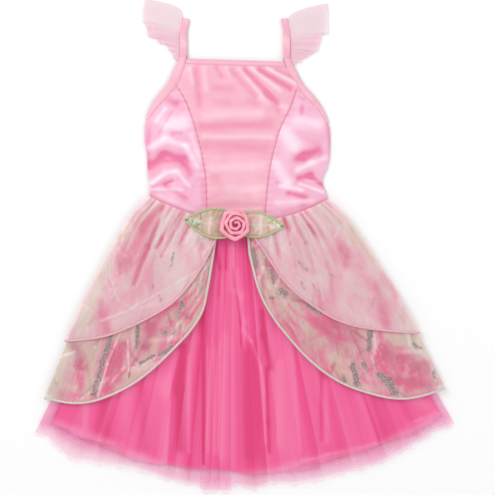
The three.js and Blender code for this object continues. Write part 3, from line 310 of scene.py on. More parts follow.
# The overskirts' strokes are folds with painted highlight and painted shade, cream casts, and painted silver
# glints, which are reflections
ORGANZA_STROKES = {
    "left": [
        # Folds from the gathers at the waist
        (-108, 21, -132, -37.5, 4.5, -1.8, -0.8), (-132, -37.5, -153, -93, 5, -1.5, -0.7),
        (-103.5, 19.5, -126, -37.5, 2.5, 1.5, 0.7, 0.2), (-126, -37.5, -148.5, -96, 2.2, 1.3, 0.7),
        (-84, 15, -118.5, -37.5, 4, -1.4, -0.75), (-90, 15, -124.5, -36, 3, 1.2, 0.4),
        (-76.5, 12, -111, -51, 3, -1, -0.6), (-72, 9, -99, -36, 2.5, 0.9, 0.5),
        (-123, 27, -141, -6, 5, -0.9, -0.25), (-64.5, 4.5, -84, -33, 3, -0.9, -0.45),
        (-57, 0, -73.5, -31.5, 3, 0.7, 0.4), (-48, -6, -60, -36, 3, -0.7, -0.35),
        # Broad folds and edges further down
        (-136, -2, -166, -62, 16, 0.6, -0.5, -0.4), (-118, 16, -140, -10, 10, 0, -0.35, -0.3),
        (-112, -122, -88, -96, 22, 0, 0.8, 0.3), (-60, -90, -100, -50, 14, 0, 0.3, 0.1),
        (-190.5, -45, -187.5, -87, 2.2, 1.1, 0.5, 0.3), (-187.5, -87, -175.5, -118.5, 2.2, 1.1, 0.5, 0.2),
        (-175.5, -118.5, -156, -130.5, 2.2, 0.9, 0.45), (-124.5, -37.5, -97.5, -85.5, 2.2, 0.9, 0.45),
        (-201, -148.5, -166.5, -136.5, 2, 0.9, 0.6), (-166.5, -136.5, -124.5, -112.5, 2, 0.8, 0.5),
        (-124.5, -112.5, -61.5, -76.5, 2, 0.5, 0.3), (-202.5, -120, -192, -162, 7, 0.3, -0.4),
        (-181.5, -144, -129, -135, 8, 0, 0.15), (-226.5, -150, -208.5, -114, 9, 0.4, 0, 0.7),
        (-192, -60, -216, -117, 6, 0.3, 0.1, 0.9), (-165, -6, -186, -45, 6, 0.3, 0.1, 0.8),
        (-135, 15, -144, -15, 6, 0, 0, 0.6), (-109.5, 12, -117, -15, 3.5, 0, 0.3, 0.9),
        (-99, -42, -81, -75, 9, 0, 0.25, 0.1), (-64.5, -15, -46.5, -27, 5, 0.3, 0.1, 0.6),
        # Painted glints: reflections in the film underneath
        (-93, -46.5, -97.5, -66, 2.2, 0, 0, 0, 0.7), (-124.5, -94.5, -123, -103.5, 2.5, 0, 0, 0, 0.6),
        (-114, -111, -109.5, -123, 3, 0, 0, 0, 0.6), (-166.5, -123, -162, -126, 2.5, 0, 0, 0, 0.4),
    ],
    "right": [
        (140, -80, 170, -125, 24, 0, 0.35, 0.1), (236, -90, 250, -140, 13, 0, -0.3, -0.5),
        (72, 4.5, 81, -33, 3.2, -1.3, -0.6), (81, -33, 91.5, -78, 3, -1, -0.45),
        (90, 9, 109.5, -28.5, 2.4, 1.6, 0.75, 0.3), (109.5, -28.5, 123, -75, 2.2, 1.4, 0.65, 0.2),
        (123, -75, 130.5, -117, 2.2, 1.2, 0.55, 0.2), (84, 7.5, 103.5, -31.5, 3, -1.2, -0.55),
        (105, -33, 117, -75, 4, -0.9, -0.35), (99, 12, 115.5, -18, 4, -0.9, -0.4),
        (109.5, 18, 141, -9, 3, 1.1, 0.5, 0.5), (115.5, 21, 160.5, -24, 2.5, 0.9, 0.4, 0.6),
        (126, 24, 174, -12, 5, 0.4, 0, 0.9), (151.5, 25.5, 189, -27, 6, 0.3, 0.1, 0.8),
        (178.5, -21, 204, -60, 8, 0.3, 0, 1), (63, -3, 72, -42, 2.6, 0.8, 0.35, 0.3),
        (54, -12, 64.5, -45, 3, -0.8, -0.3), (156, -42, 168, -66, 9, 0, -0.5),
        (111, -6, 123, -21, 7, 0, -0.45), (136.5, -60, 147, -117, 5, 0.4, -0.3),
        (174, -60, 156, -132, 6, 0.5, 0.25, 0.3), (222, -90, 246, -144, 8, 0.3, 0, 0.6),
        (210, -96, 225, -150, 8, 0, -0.45), (174, -117, 204, -153, 9, 0, 0.2),
        (39, -27, 66, -60, 3, 0.4, 0.2, 0.5), (39, -15, 51, -27, 5, 0, 0, 0.7),
        (246, -117, 271.5, -162, 5, 0.3, 0.2, 0.8), (93, -60, 105, -72, 3, 0, 0, 0, 0.6),
        (97.5, -90, 102, -99, 3, 0, 0, 0, 0.6), (141, -78, 150, -82.5, 2.2, 0, 0, 0, 0.7),
        (115.5, -94.5, 121.5, -102, 2.5, 0, 0, 0, 0.5), (207, -114, 201, -132, 2.5, 0, 0, 0, 0.35),
    ],
}
FILM_STROKES = {
    "left": [
        (-240, -200, -220, -250, 24, 0, 0.3, 0.35), (-100, -160, -80, -190, 16, 0, -0.2, -0.4),
        (-184.5, -166.5, -199.5, -210, 4.1, 0.8, -0.6, 0, 1),
        (-199.5, -210, -213, -259.5, 4.6, 0.8, -0.6, 0, 1), (-174, -166.5, -192, -213, 1.6, 1.4, 1),
        (-192, -213, -207, -261, 1.6, 1.4, 1), (-219, -184.5, -217.5, -246, 8, 0.4, 0, 1.3),
        (-228, -195, -216, -252, 3, 0, -0.3, 0.9), (-246, -180, -228, -216, 10, 0, -0.8, -0.6),
        (-237, -210, -232.5, -249, 6, 0, -0.5, -0.4), (-267, -216, -279, -258, 8, 0.4, 0.1, 1.2),
        (-255, -195, -267, -237, 4, 0.3, 0.2, 1), (-186, -195, -189, -252, 8, 0, -0.4, -0.7),
        (-171, -184.5, -175.5, -237, 6, 0, -0.45, -0.6), (-147, -153, -148.5, -189, 3.5, -0.8, -0.4, 0, 0.9),
        (-153, -156, -154.5, -186, 3, 0.6, 0.3, 0.3), (-126, -156, -135, -186, 8, 0, -0.85, -0.8),
        (-162, -177, -160.5, -234, 1.6, 1.2, 0.9), (-142.5, -211.5, -126, -202.5, 3.2, -0.9, -0.3, 0.4, 0.9),
        (-126, -202.5, -111, -198, 3, -0.9, -0.2, 0.5, 0.8),
        (-111, -198, -96, -187.5, 3.8, -0.8, -0.3, 0.5, 0.9), (-153, -222, -106.5, -210, 5, 0.7, 0.7, 0.1),
        (-114, -168, -93, -165, 4, -0.6, -0.2, 0.7, 0.5), (-106.5, -147, -91.5, -132, 5, 0.4, -0.1, 1, 0.2),
        (-87, -135, -69, -144, 6, 0, -0.6, -0.6), (-79.5, -117, -90, -150, 3, -0.6, -0.2, 0.8, 0.4),
        (-57, -87, -52.5, -105, 4, 0.4, -0.1, 0.8, 0.3), (-45, -60, -49.5, -102, 4, 0.5, -0.2, 0.5, 0.3),
        (-40.5, -36, -42, -72, 3, 0.8, 0.3, 0.9, 0.1), (-160.5, -225, -157.5, -243, 2.5, 0, 0, 0.3, 0.6),
        (-238.5, -201, -237, -210, 2.4, 0, 0, 0.3, 0.5), (-271.5, -237, -268.5, -246, 2.4, 0, 0, 0.3, 0.4),
        (-81, -120, -78, -126, 2.4, 0, -0.6, 0, 1), (-204, -174, -214.5, -207, 4, 0.4, 0, 0.9),
        (-60, -141, -75, -162, 4, 0.3, 0.1, 0.8), (-129, -177, -90, -174, 4, 0.4, 0.5, 0.2),
    ],
    "right": [
        (70, -150, 105, -190, 16, 0, -0.25, -0.4), (26.2, -42, 30, -67.5, 4.1, -0.8, -0.7, 0.2, 1.1),
        (34.5, -42, 39, -69, 3, 0.7, 0.3, 0.9), (52.5, -72, 57, -90, 3.2, -0.7, -0.5, 0.3, 1),
        (45, -57, 48, -111, 5, 0.5, 0, 1.1, 0.1), (69, -102, 73.5, -108, 4.9, -0.5, -0.4, 0.3, 1),
        (51, -114, 55.5, -114, 3.5, -0.5, -0.3, 0.3, 0.9), (60, -93, 69, -147, 5, 0.5, 0, 1, 0.2),
        (81, -117, 105, -156, 8, 0.4, 0.1, 0.9, 0.1), (108, -126, 126, -136.5, 3.5, -0.6, -0.4, 0.3, 0.9),
        (114, -168, 132, -186, 8, 0, -0.2, 0.6, 0.1), (148.5, -156, 180, -177, 10, 0, -0.45, -0.4),
        (168, -159, 183, -189, 2.2, -0.9, -0.6, 0.2, 0.2), (183, -189, 195, -219, 2.2, -0.9, -0.6, 0.2, 0.2),
        (201, -163.5, 198, -192, 4.1, -0.9, -0.6, 0.2, 1.2), (207, -168, 207, -195, 2.2, 0.9, 0.6, 0.3),
        (202.5, -201, 208.5, -225, 2.2, 0.9, 0.5, 0.3, 0.5),
        (190.5, -213, 193.5, -217.5, 4.1, -0.4, -0.3, 0.2, 1.1),
        (175.5, -213, 181.5, -243, 4.3, -0.7, -0.5, 0.2, 1.1),
        (214.5, -228, 231, -243, 4.6, -0.7, -0.5, 0.2, 1.2),
        (228, -237, 238.5, -256.5, 5.9, -0.7, -0.5, 0.2, 1.2),
        (160.5, -231, 163.5, -238.5, 4.3, 0, -0.3, 0.3, 0.9), (222, -195, 282, -219, 12, 0, -0.75, -0.8),
        (204, -231, 195, -261, 6, 0, 0.35, -0.3), (225, -171, 270, -186, 7, 0.5, 0.1, 1),
        (240, -195, 276, -195, 4, 0.5, 0.5, 0.4), (267, -183, 276, -189, 4.1, 0, 0, 0.2, 0.8),
        (246, -237, 291, -246, 8, 0, -0.7, -0.6), (295.5, -225, 303, -243, 4, 0.4, 0.1, 0.8, 0.5),
        (282, -192, 300, -231, 4, 0.4, 0.2, 0.9), (258, -210, 249, -246, 5, 0.5, 0.35, 0.6),
        (123, -150, 163.5, -195, 9, 0, -0.4, -0.4), (153, -189, 159, -195, 3, 0, 0, 0.4, 0.4),
        (141, -201, 174, -225, 6, 0.3, 0.2, 0.4),
    ],
}


# Numbers and curves
def mix(start, end, share):
    return start + (end - start) * share


def ease(start, end, value):
    t = np.clip((value - start) / (end - start), 0, 1)
    return t * t * (3 - 2 * t)


def wave(turns):
    return 0.5 - 0.5 * np.cos(2 * np.pi * turns)


def bell(value, width):
    return np.exp(-((value / width) ** 2))


def oval(share):
    """The height of a half circle, 0 at both ends and 1 in the middle."""
    return np.sqrt(np.clip(1 - (2 * share - 1) ** 2, 0, 1))


def through(rows):
    """A smooth function through (input, output) rows, without overshoot."""
    xs, ys = np.array(sorted(rows), float).T
    steps = np.diff(ys) / np.diff(xs)
    slopes = np.concatenate([steps[:1], np.zeros(len(xs) - 2), steps[-1:]])
    for i in range(1, len(xs) - 1):
        before, after = steps[i - 1], steps[i]
        if before * after > 0:
            slopes[i] = 2 * before * after / (before + after)

    def value(x):
        x = np.clip(x, xs[0], xs[-1])
        i = np.clip(np.searchsorted(xs, x, side="right") - 1, 0, len(xs) - 2)
        width = xs[i + 1] - xs[i]
        t = (x - xs[i]) / width
        return (ys[i] * (1 + 2 * t) * (1 - t) ** 2 + slopes[i] * width * t * (1 - t) ** 2
                + ys[i + 1] * t * t * (3 - 2 * t) + slopes[i + 1] * width * t * t * (t - 1))

    return value


def blurred(values, radius, axes=(0, 1)):
    """Values of a grid, softened over a radius in cells."""
    kernel = np.ones(2 * radius + 1) / (2 * radius + 1)
    for axis in axes:
        for _ in range(3):
            values = np.apply_along_axis(
                lambda line: np.convolve(np.pad(line, radius, mode="edge"), kernel, "valid"), axis, values)
    return values


def widened(values, radius):
    """The highest value of a grid within a radius in cells."""
    for axis in (0, 1):
        padded = np.pad(values, [(radius, radius) if a == axis else (0, 0) for a in (0, 1)], mode="edge")
        size = values.shape[axis]
        values = np.max([np.take(padded, range(i, i + size), axis) for i in range(2 * radius + 1)], axis=0)
    return values


def cells(columns, rows):
    """Shares across and down a grid, each as an array of rows by columns."""
    return np.meshgrid(np.linspace(0, 1, columns + 1), np.linspace(0, 1, rows + 1))


def points_of(x, y, z):
    return np.stack(np.broadcast_arrays(x, y, z), axis=-1).astype(float)


def strokes(x, y, table):
    """What soft strokes do at each point: height in millimetres, painted shading, cream and painted glint."""
    total = np.zeros((4,) + x.shape)
    for x0, y0, x1, y1, width, *amounts in table:
        along = np.array([x1 - x0, y1 - y0], float)
        share = np.clip(((x - x0) * along[0] + (y - y0) * along[1]) / max(along @ along, 1e-6), 0, 1)
        away = np.hypot(x - x0 - share * along[0], y - y0 - share * along[1])
        on_left = along[0] * (y - y0) > along[1] * (x - x0)
        fade = bell(away, np.where(on_left & (width < 0), CRISP_EDGE, abs(width)))
        for k, amount in enumerate(amounts):
            total[k] += amount * fade
    return total


def crinkles(x, y, seed, count, length, width, height, turn=0.5):
    """The height of small creases, placed at random, that run roughly down the fan, and their painted shading."""
    rng = np.random.default_rng(seed)
    table = []
    for _ in range(count):
        i, j = rng.integers(x.shape[0]), rng.integers(x.shape[1])
        down = math.atan2(y[i, j] - FAN_TOP, x[i, j] - WAIST["middle"]) + rng.normal(0, turn)
        half = rng.uniform(0.4, 1) * length / 2
        dx, dy = half * math.cos(down), half * math.sin(down)
        rise = rng.normal(0, 1)
        table.append((x[i, j] - dx, y[i, j] - dy, x[i, j] + dx, y[i, j] + dy, rng.uniform(0.6, 1.4) * width,
                      # Painted shading: lighter where a crease rises, deeper where it sinks
                      height * rise, 0.35 * rise))
    return strokes(x, y, table)[:2]


# The skirt's plan
def waist_y(x):
    u = (x - WAIST["middle"]) / WAIST["half"]
    return np.where(u < 0, WAIST["left"] * np.abs(u) ** WAIST["left_power"],
                    WAIST["right"] * np.abs(u) ** WAIST["right_power"])


def hem_y(u):
    return HEM["lowest"] + np.where(u < 0, HEM["left_rise"], HEM["right_rise"]) * u * u


def half_width(v):
    return mix(WAIST["half"], HEM["half"], v)


def skirt_plan(u, v, spread=0.0):
    x = mix(WAIST["middle"], HEM["middle"], v) + (half_width(v) + spread) * u
    return x, mix(waist_y(WAIST["middle"] + WAIST["half"] * u) - SEAM_GAP, hem_y(u), v)


def spread_of(column):
    return through([(row[0], row[1 if column == "upper" else 2]) for row in OVERSKIRT_SPREAD])


# What the pieces lie on
class Pile:
    """The height of what lies on the floor, in millimetres, in square cells."""

    CELL = 2.0
    LOW = (-370.0, -450.0)

    def __init__(self):
        self.heights = np.zeros((371, 421))

    def cell(self, x, y):
        i = np.clip(np.rint((x - self.LOW[0]) / self.CELL).astype(int), 1, self.heights.shape[0] - 2)
        j = np.clip(np.rint((y - self.LOW[1]) / self.CELL).astype(int), 1, self.heights.shape[1] - 2)
        return i, j

    def under(self, x, y):
        return self.heights[self.cell(x, y)]

    def add(self, points):
        i, j = self.cell(points[..., 0].ravel(), points[..., 1].ravel())
        for di, dj in ((0, 0), (1, 0), (-1, 0), (0, 1), (0, -1)):
            np.maximum.at(self.heights, (i + di, j + dj), points[..., 2].ravel())

    def lay(self, points, gap=LAY_GAP, ease_out=2):
        """Lifts a sheet's points, softly, where they aren't clear of the pile, and adds them to it."""
        under = self.under(points[..., 0], points[..., 1])
        need = np.where(under > 0, np.maximum(0, under + gap - points[..., 2]), 0)
        points[..., 2] += blurred(widened(need, ease_out), ease_out)
        self.add(points)
        return points


PILE = Pile()
BODICE_PILE = Pile()


def top_of(*names, soften=3):
    """The height of the tops of CAD nodes over x and y, in millimetres, softened over their facets."""
    vertices, faces = [], []
    for name in names:
        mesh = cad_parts[name].data
        faces += [[len(vertices) + i for i in face.vertices] for face in mesh.polygons]
        vertices += [v.co.copy() for v in mesh.vertices]
    tree = BVHTree.FromPolygons(vertices, faces)
    low_x, low_y = (min(v[k] for v in vertices) / MM - TOP_MARGIN for k in (0, 1))
    high_x, high_y = (max(v[k] for v in vertices) / MM + TOP_MARGIN for k in (0, 1))
    columns = int((high_x - low_x) / TOP_STEP) + 2
    rows = int((high_y - low_y) / TOP_STEP) + 2
    heights, there = np.zeros((columns, rows)), np.zeros((columns, rows))
    down, above = Vector((0, 0, -1)), 0.2
    for i in range(columns):
        for j in range(rows):
            start = Vector(((low_x + i * TOP_STEP) * MM, (low_y + j * TOP_STEP) * MM, above))
            hit = tree.ray_cast(start, down)[0]
            if hit is not None:
                heights[i, j], there[i, j] = hit.z / MM, 1
    # Past the piece's edge the height is that of its nearest parts, or else its mean
    filled = np.full_like(heights, heights.sum() / there.sum())
    for radius in (9, soften):
        weight = blurred(there, radius)
        known = weight > 0.004
        filled[known] = blurred(heights, radius)[known] / weight[known]

    def height(x, y):
        across = np.clip((x + SHIFT_X - low_x) / TOP_STEP, 0, columns - 1.001)
        along = np.clip((y + SHIFT_Y - low_y) / TOP_STEP, 0, rows - 1.001)
        i, j = across.astype(int), along.astype(int)
        s, t = across - i, along - j
        return (filled[i, j] * (1 - s) * (1 - t) + filled[i + 1, j] * s * (1 - t)
                + filled[i, j + 1] * (1 - s) * t + filled[i + 1, j + 1] * s * t)

    return height


# Meshes
def in_frame(points):
    return (np.asarray(points, float) + (SHIFT_X, SHIFT_Y, 0)) * MM


def linked(name, data):
    obj = bpy.data.objects.new(name, data)
    bpy.context.scene.collection.objects.link(obj)
    return obj


def new_object(name, vertices, faces, material, uv, marks=None):
    """A smooth mesh object in the frame. uv is in metres and marks are named values, for each vertex."""
    mesh = bpy.data.meshes.new(name)
    mesh.from_pydata(vertices.tolist(), [], faces)
    corners = np.zeros(len(mesh.loops), int)
    mesh.loops.foreach_get("vertex_index", corners)
    mesh.uv_layers.new(name="cloth").data.foreach_set("uv", uv[corners].astype(np.float32).ravel())
    for key, values in (marks or {}).items():
        attribute = mesh.attributes.new(key, "FLOAT", "POINT")
        attribute.data.foreach_set("value", np.asarray(values, np.float32).ravel())
    mesh.shade_smooth()
    mesh.materials.append(material)
    return linked(name, mesh)


def grid_normals(points):
    across = np.gradient(points, axis=1)
    along = np.gradient(points, axis=0)
    normals = np.cross(across, along)
    length = np.linalg.norm(normals, axis=-1, keepdims=True)
    return normals / np.maximum(length, 1e-9)


def grid_uv(points):
    """Mean distances across and along a sheet, in metres, at each of its points."""
    rows, columns = points.shape[:2]
    across = np.linalg.norm(np.diff(points, axis=1), axis=2).mean(axis=0).cumsum()
    along = np.linalg.norm(np.diff(points, axis=0), axis=2).mean(axis=1).cumsum()
    u, v = np.meshgrid(np.concatenate([[0], across]), np.concatenate([[0], along]))
    return np.stack([u, v], axis=-1).reshape(rows * columns, 2) * MM


def cloth(name, points, material, marks=None, thick=0.0, faces_up=True):
    """A sheet on a grid of points in layout millimetres, or a closed shell of that thickness under it."""
    rows, columns = points.shape[:2]
    number = np.arange(rows * columns).reshape(rows, columns)
    quads = np.stack([number[:-1, :-1], number[1:, :-1], number[1:, 1:], number[:-1, 1:]], axis=-1)
    normals = grid_normals(points)
    quads_face_up = normals[..., 2].sum() < 0
    flipped = quads_face_up != faces_up
    outward = -normals if quads_face_up == faces_up else normals
    quads = quads.reshape(-1, 4)
    if flipped:
        quads = quads[:, ::-1]
    flat = points.reshape(-1, 3)
    uv = grid_uv(points)
    marks = {key: np.asarray(values).ravel() for key, values in (marks or {}).items()}
    if not thick:
        return new_object(name, in_frame(flat), quads.tolist(), material, uv, marks)
    count = rows * columns
    inner = flat - outward.reshape(-1, 3) * thick
    if faces_up:
        inner[:, 2] = np.maximum(inner[:, 2], 0.02)
    rim = np.concatenate([number[0, :], number[1:, -1], number[-1, -2::-1], number[-2:0:-1, 0]])
    after = np.roll(rim, -1)
    sides = np.stack([rim, after, after + count, rim + count], axis=-1)
    if flipped:
        sides = sides[:, ::-1]
    faces = quads.tolist() + (quads[:, ::-1] + count).tolist() + sides.tolist()
    obj = new_object(name, in_frame(np.concatenate([flat, inner])), faces, material,
                     np.concatenate([uv, uv]), {key: np.tile(values, 2) for key, values in marks.items()})
    # The cut edges are sharp, so that they don't shade the cloth beside them
    ends = np.empty(2 * len(obj.data.edges), int)
    obj.data.edges.foreach_get("vertices", ends)
    ends = ends.reshape(-1, 2)
    on_rim = np.isin(ends % count, rim).all(axis=1) & ((ends[:, 0] < count) == (ends[:, 1] < count))
    obj.data.attributes.new("sharp_edge", "BOOLEAN", "EDGE").data.foreach_set("value", on_rim)
    return obj


def tube(name, centres, width, thick, material, sides=10):
    """A closed cord of flat oval section along points in layout millimetres, with its seams on the floor side."""
    centres = np.asarray(centres, float)
    along = np.gradient(centres, axis=0)
    along /= np.linalg.norm(along, axis=1, keepdims=True)
    side = np.stack([along[:, 1], -along[:, 0], np.zeros(len(along))], axis=1)
    side /= np.linalg.norm(side, axis=1, keepdims=True)
    up = np.cross(side, along)
    turns = 2 * np.pi * np.arange(sides) / sides
    rings = (centres[:, None] + side[:, None] * np.cos(turns)[None, :, None] * width / 2
             + up[:, None] * (np.sin(turns)[None, :, None] * thick / 2))
    count = len(centres)
    faces = []
    for start in range(0, (count - 1) * sides, sides):
        for k in range(sides):
            after = (k + 1) % sides
            faces.append([start + k, start + after, start + sides + after, start + sides + k])
    faces.append(list(range(sides))[::-1])
    faces.append([(count - 1) * sides + k for k in range(sides)])
    if np.cross(side[0], up[0]) @ along[0] < 0:
        faces = [face[::-1] for face in faces]
    travelled = np.concatenate([[0], np.linalg.norm(np.diff(centres, axis=0), axis=1).cumsum()])
    uv = np.stack(np.meshgrid(travelled, np.arange(sides) / sides * width, indexing="ij"), axis=-1)
    return new_object(name, in_frame(rings.reshape(-1, 3)), faces, material, uv.reshape(-1, 2) * MM)


def finished(obj, slot, nodes=(), **sheet):
    """Rides a finished piece on the dress and hides the imported nodes that it stands for."""
    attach(obj, "root")
    if nodes:
        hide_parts(*nodes)
    return obj


# Colours
def linear(red, green, blue):
    """A colour given as 0 to 255 on a screen, as the values that a shader takes."""
    shares = [value / 255 for value in (red, green, blue)]
    return tuple(s / 12.92 if s <= 0.04045 else ((s + 0.055) / 1.055) ** 2.4 for s in shares)


def colour_property(name, description, red, green, blue):
    return FloatVectorProperty(name=name, description=description, default=linear(red, green, blue),
                               size=3, min=0, max=1, subtype="COLOR")


def length_property(name, description, default, low=0.0, high=1.0):
    return FloatProperty(name=name, description=description, default=default, min=low, max=high,
                         unit="LENGTH", subtype="DISTANCE")


def share_property(name, description, default):
    return FloatProperty(name=name, description=description, default=default, min=0, max=1, subtype="FACTOR")


class DressSizes(PropertyGroup):
    satin_thickness: length_property("Satin thickness", "Thickness of the bodice's satin", 0.0009, 0.0002, 0.003)
    crease_height: FloatProperty(name="Crease height",
                                 description="Height of the satin's creases against the usual",
                                 default=1.0, min=0, max=3)
    tulle_fold_height: length_property("Tulle fold height", "How high each tulle fold stands", 0.0022, 0, 0.01)
    gathers: IntProperty(name="Gathers", description="Small gathers at the waist in each tulle fold",
                         default=2, min=1, max=6)
    crinkle_height: length_property("Crinkle height", "Height of the small crinkles in the film",
                                    0.0007, 0, 0.004)
    overlock_spacing: length_property("Overlock spacing", "Distance between threads on the silver edge",
                                      0.0014, 0.0005, 0.01)
    stitch_spacing: length_property("Stitch spacing", "Distance between sewn stitches", 0.003, 0.001, 0.01)
    camera_lens: FloatProperty(name="Camera lens", description="Focal length of the stage camera",
                               default=110, min=20, max=300, unit="CAMERA")


class DressColours(PropertyGroup):
    centre_satin: colour_property("Centre satin", "Satin of the centre panel", 240, 177, 194)
    side_satin: colour_property("Side satin", "Satin of the side panels", 241, 181, 206)
    binding: colour_property("Binding", "Bindings and straps", 238, 174, 192)
    sleeve: colour_property("Sleeve organza", "Organza of the flutter sleeves", 254, 222, 232)
    tulle: colour_property("Tulle", "Net of the skirt", 250, 130, 190)
    lining: colour_property("Lining", "Hot pink underskirt", 242, 68, 140)
    film: colour_property("Film organza", "Iridescent film of the lower overskirt", 228, 208, 198)
    # The colour of the film's painted glints, which are painted reflections
    film_silver: colour_property("Film glints", "Silver glints in the film", 138, 150, 142)
    organza: colour_property("Pink organza", "Sheer organza of the upper overskirt", 255, 228, 232)
    silver: colour_property("Silver thread", "Overlocked edge of the lower overskirt", 242, 240, 230)
    pink_thread: colour_property("Pink thread", "Rolled edge of the upper overskirt and the sewing",
                                 255, 202, 216)
    green_thread: colour_property("Green thread", "Corded edge of the leaves", 206, 220, 158)
    leaf: colour_property("Leaf ribbon", "Sheer ribbon of the leaves", 206, 206, 178)
    rose: colour_property("Rose ribbon", "Satin ribbon of the rose", 241, 146, 168)
    floor: colour_property("Floor", "Plain floor that the dress lies on", 250, 250, 250)
    film_alpha: share_property("Film cover", "How much the film hides what is under it", 0.62)
    organza_alpha: share_property("Organza cover", "How much the pink organza hides", 0.47)
    tulle_alpha: share_property("Tulle cover", "How much one layer of tulle hides", 0.38)
    sleeve_alpha: share_property("Sleeve cover", "How much one layer of a sleeve hides", 0.66)


# Finishes
def set_socket(tree, socket, value):
    if isinstance(value, bpy.types.NodeSocket):
        tree.links.new(value, socket)
    else:
        socket.default_value = value


def add_node(tree, kind, settings=None, **inputs):
    """A new node. Its inputs, with underscores for spaces in their names, take values or nodes' outputs."""
    node = tree.nodes.new(kind)
    for key, value in (settings or {}).items():
        setattr(node, key, value)
    for key, value in inputs.items():
        set_socket(tree, node.inputs[key.replace("_", " ")], value)
    return node


class Finish:
    """A material under construction: nodes, and the shader's own sockets."""

    def __init__(self, name, **sockets):
        self.material = bpy.data.materials.new(name)
        self.material.use_nodes = True
        self.tree = self.material.node_tree
        self.shader = self.tree.nodes["Principled BSDF"]
        for key, value in sockets.items():
            self.shader.inputs[key.replace("_", " ")].default_value = value

    def node(self, kind, settings=None, **inputs):
        return add_node(self.tree, kind, settings, **inputs)

    def set(self, socket, value):
        set_socket(self.tree, socket, value)

    def mark(self, name):
        return self.node("ShaderNodeAttribute", {"attribute_name": name}).outputs["Fac"]

    def across_cloth(self, scale):
        """The cloth's own distances, in metres, scaled across and along it."""
        uv = self.node("ShaderNodeUVMap", {"uv_map": "cloth"}).outputs["UV"]
        return self.node("ShaderNodeMapping", Vector=uv, Scale=scale).outputs["Vector"]

    def in_space(self, scale):
        place = self.node("ShaderNodeTexCoord").outputs["Object"]
        return self.node("ShaderNodeMapping", Vector=place, Scale=scale).outputs["Vector"]

    def noise(self, vector, scale, detail=3.0, roughness=0.5, distortion=0.0):
        made = self.node("ShaderNodeTexNoise", Vector=vector, Scale=scale, Detail=detail, Roughness=roughness,
                         Distortion=distortion)
        return made.outputs["Fac"]

    def math(self, operation, *values):
        node = self.node("ShaderNodeMath", {"operation": operation})
        for socket, value in zip(node.inputs, values):
            self.set(socket, value)
        return node.outputs[0]

    def range(self, value, low, high, to_low=0.0, to_high=1.0):
        made = self.node("ShaderNodeMapRange", Value=value, From_Min=low, From_Max=high, To_Min=to_low,
                         To_Max=to_high)
        return made.outputs["Result"]

    def ramp(self, value, stops):
        made = self.node("ShaderNodeValToRGB", Fac=value)
        elements = made.color_ramp.elements
        for i, (position, colour) in enumerate(stops):
            element = elements[i] if i < 2 else elements.new(position)
            element.position = position
            element.color = (*colour, 1)
        return made.outputs["Color"]

    def blend(self, share, first, second):
        node = self.node("ShaderNodeMix", {"data_type": "RGBA"})
        self.set(node.inputs[0], share)
        colours = [s for s in node.inputs if s.type == "RGBA"]
        for socket, value in zip(colours, (first, second)):
            self.set(socket, (*value, 1) if isinstance(value, tuple) else value)
        return next(s for s in node.outputs if s.type == "RGBA")

    def surface(self, name, value):
        self.set(self.shader.inputs[name], value)

    def colour(self, value):
        self.surface("Base Color", value)

    def bump(self, height, strength, distance):
        made = self.node("ShaderNodeBump", Height=height, Strength=strength, Distance=distance)
        self.surface("Normal", made.outputs["Normal"])


def tinted(colour, share, red, green, blue):
    """A colour moved some way towards another."""
    return tuple(mix(a, b, share) for a, b in zip(colour, linear(red, green, blue)))


def satin(name, colour, painted_shade_colour, light, roughness=0.34):
    """Glossy satin: painted highlight on ridges, painted shade in troughs, a fine weave and slight slubs."""
    made = Finish(name, Roughness=roughness, Specular_IOR_Level=0.5, Sheen_Weight=0.15, Sheen_Roughness=0.4,
                  Sheen_Tint=(1, 0.86, 0.92, 1))
    slubs = made.noise(made.in_space((30, 90, 30)), 1.0, 3)
    painted_shading_and_tone = made.math("ADD", made.mark("painted_shading_and_tone"), made.range(slubs, 0.3, 0.7, -0.12, 0.12))
    # The ramp runs from painted shade through the satin's colour to painted highlight, by the painted shading
    # mark and the slubs
    made.colour(made.ramp(made.range(painted_shading_and_tone, -1.2, 1.2), [(0.08, painted_shade_colour), (0.92, light), (0.5, colour)]))
    weave = made.noise(made.in_space((900, 2600, 900)), 1.0, 1)
    made.bump(weave, 0.12, 0.0002)
    made.surface("Roughness", made.range(slubs, 0.2, 0.8, roughness - 0.04, roughness + 0.05))
    return made.material


def lining_cloth(name, colour):
    """Hot pink taffeta: a fine rib, slow changes of depth and painted fold shading. It pales at the hem."""
    made = Finish(name, Roughness=0.6, Sheen_Weight=0.1)
    slow = made.noise(made.across_cloth((14, 3, 1)), 1.0, 3)
    depth = made.math("ADD", made.mark("painted_shading_and_tone"), made.range(slow, 0.3, 0.7, -0.3, 0.3))
    # The ramp's deep end is painted shade and its light end painted highlight
    deep = made.ramp(made.range(depth, -1, 1), [
        (0, tinted(colour, 0.8, 216, 26, 92)), (1, tinted(colour, 0.7, 250, 124, 178)), (0.5, colour)])
    sheer = made.mark("sheer")
    made.colour(made.blend(made.range(sheer, 0, 0.9), deep, tinted(colour, 0.95, 252, 206, 226)))
    made.surface("Alpha", made.range(sheer, 0.6, 1, 1, 0.45))
    rib = made.node("ShaderNodeTexWave", {"bands_direction": "Y"}, Vector=made.across_cloth((1, 1, 1)),
                    Scale=220.0)
    made.bump(rib.outputs["Fac"], 0.15, 0.0002)
    return made.material


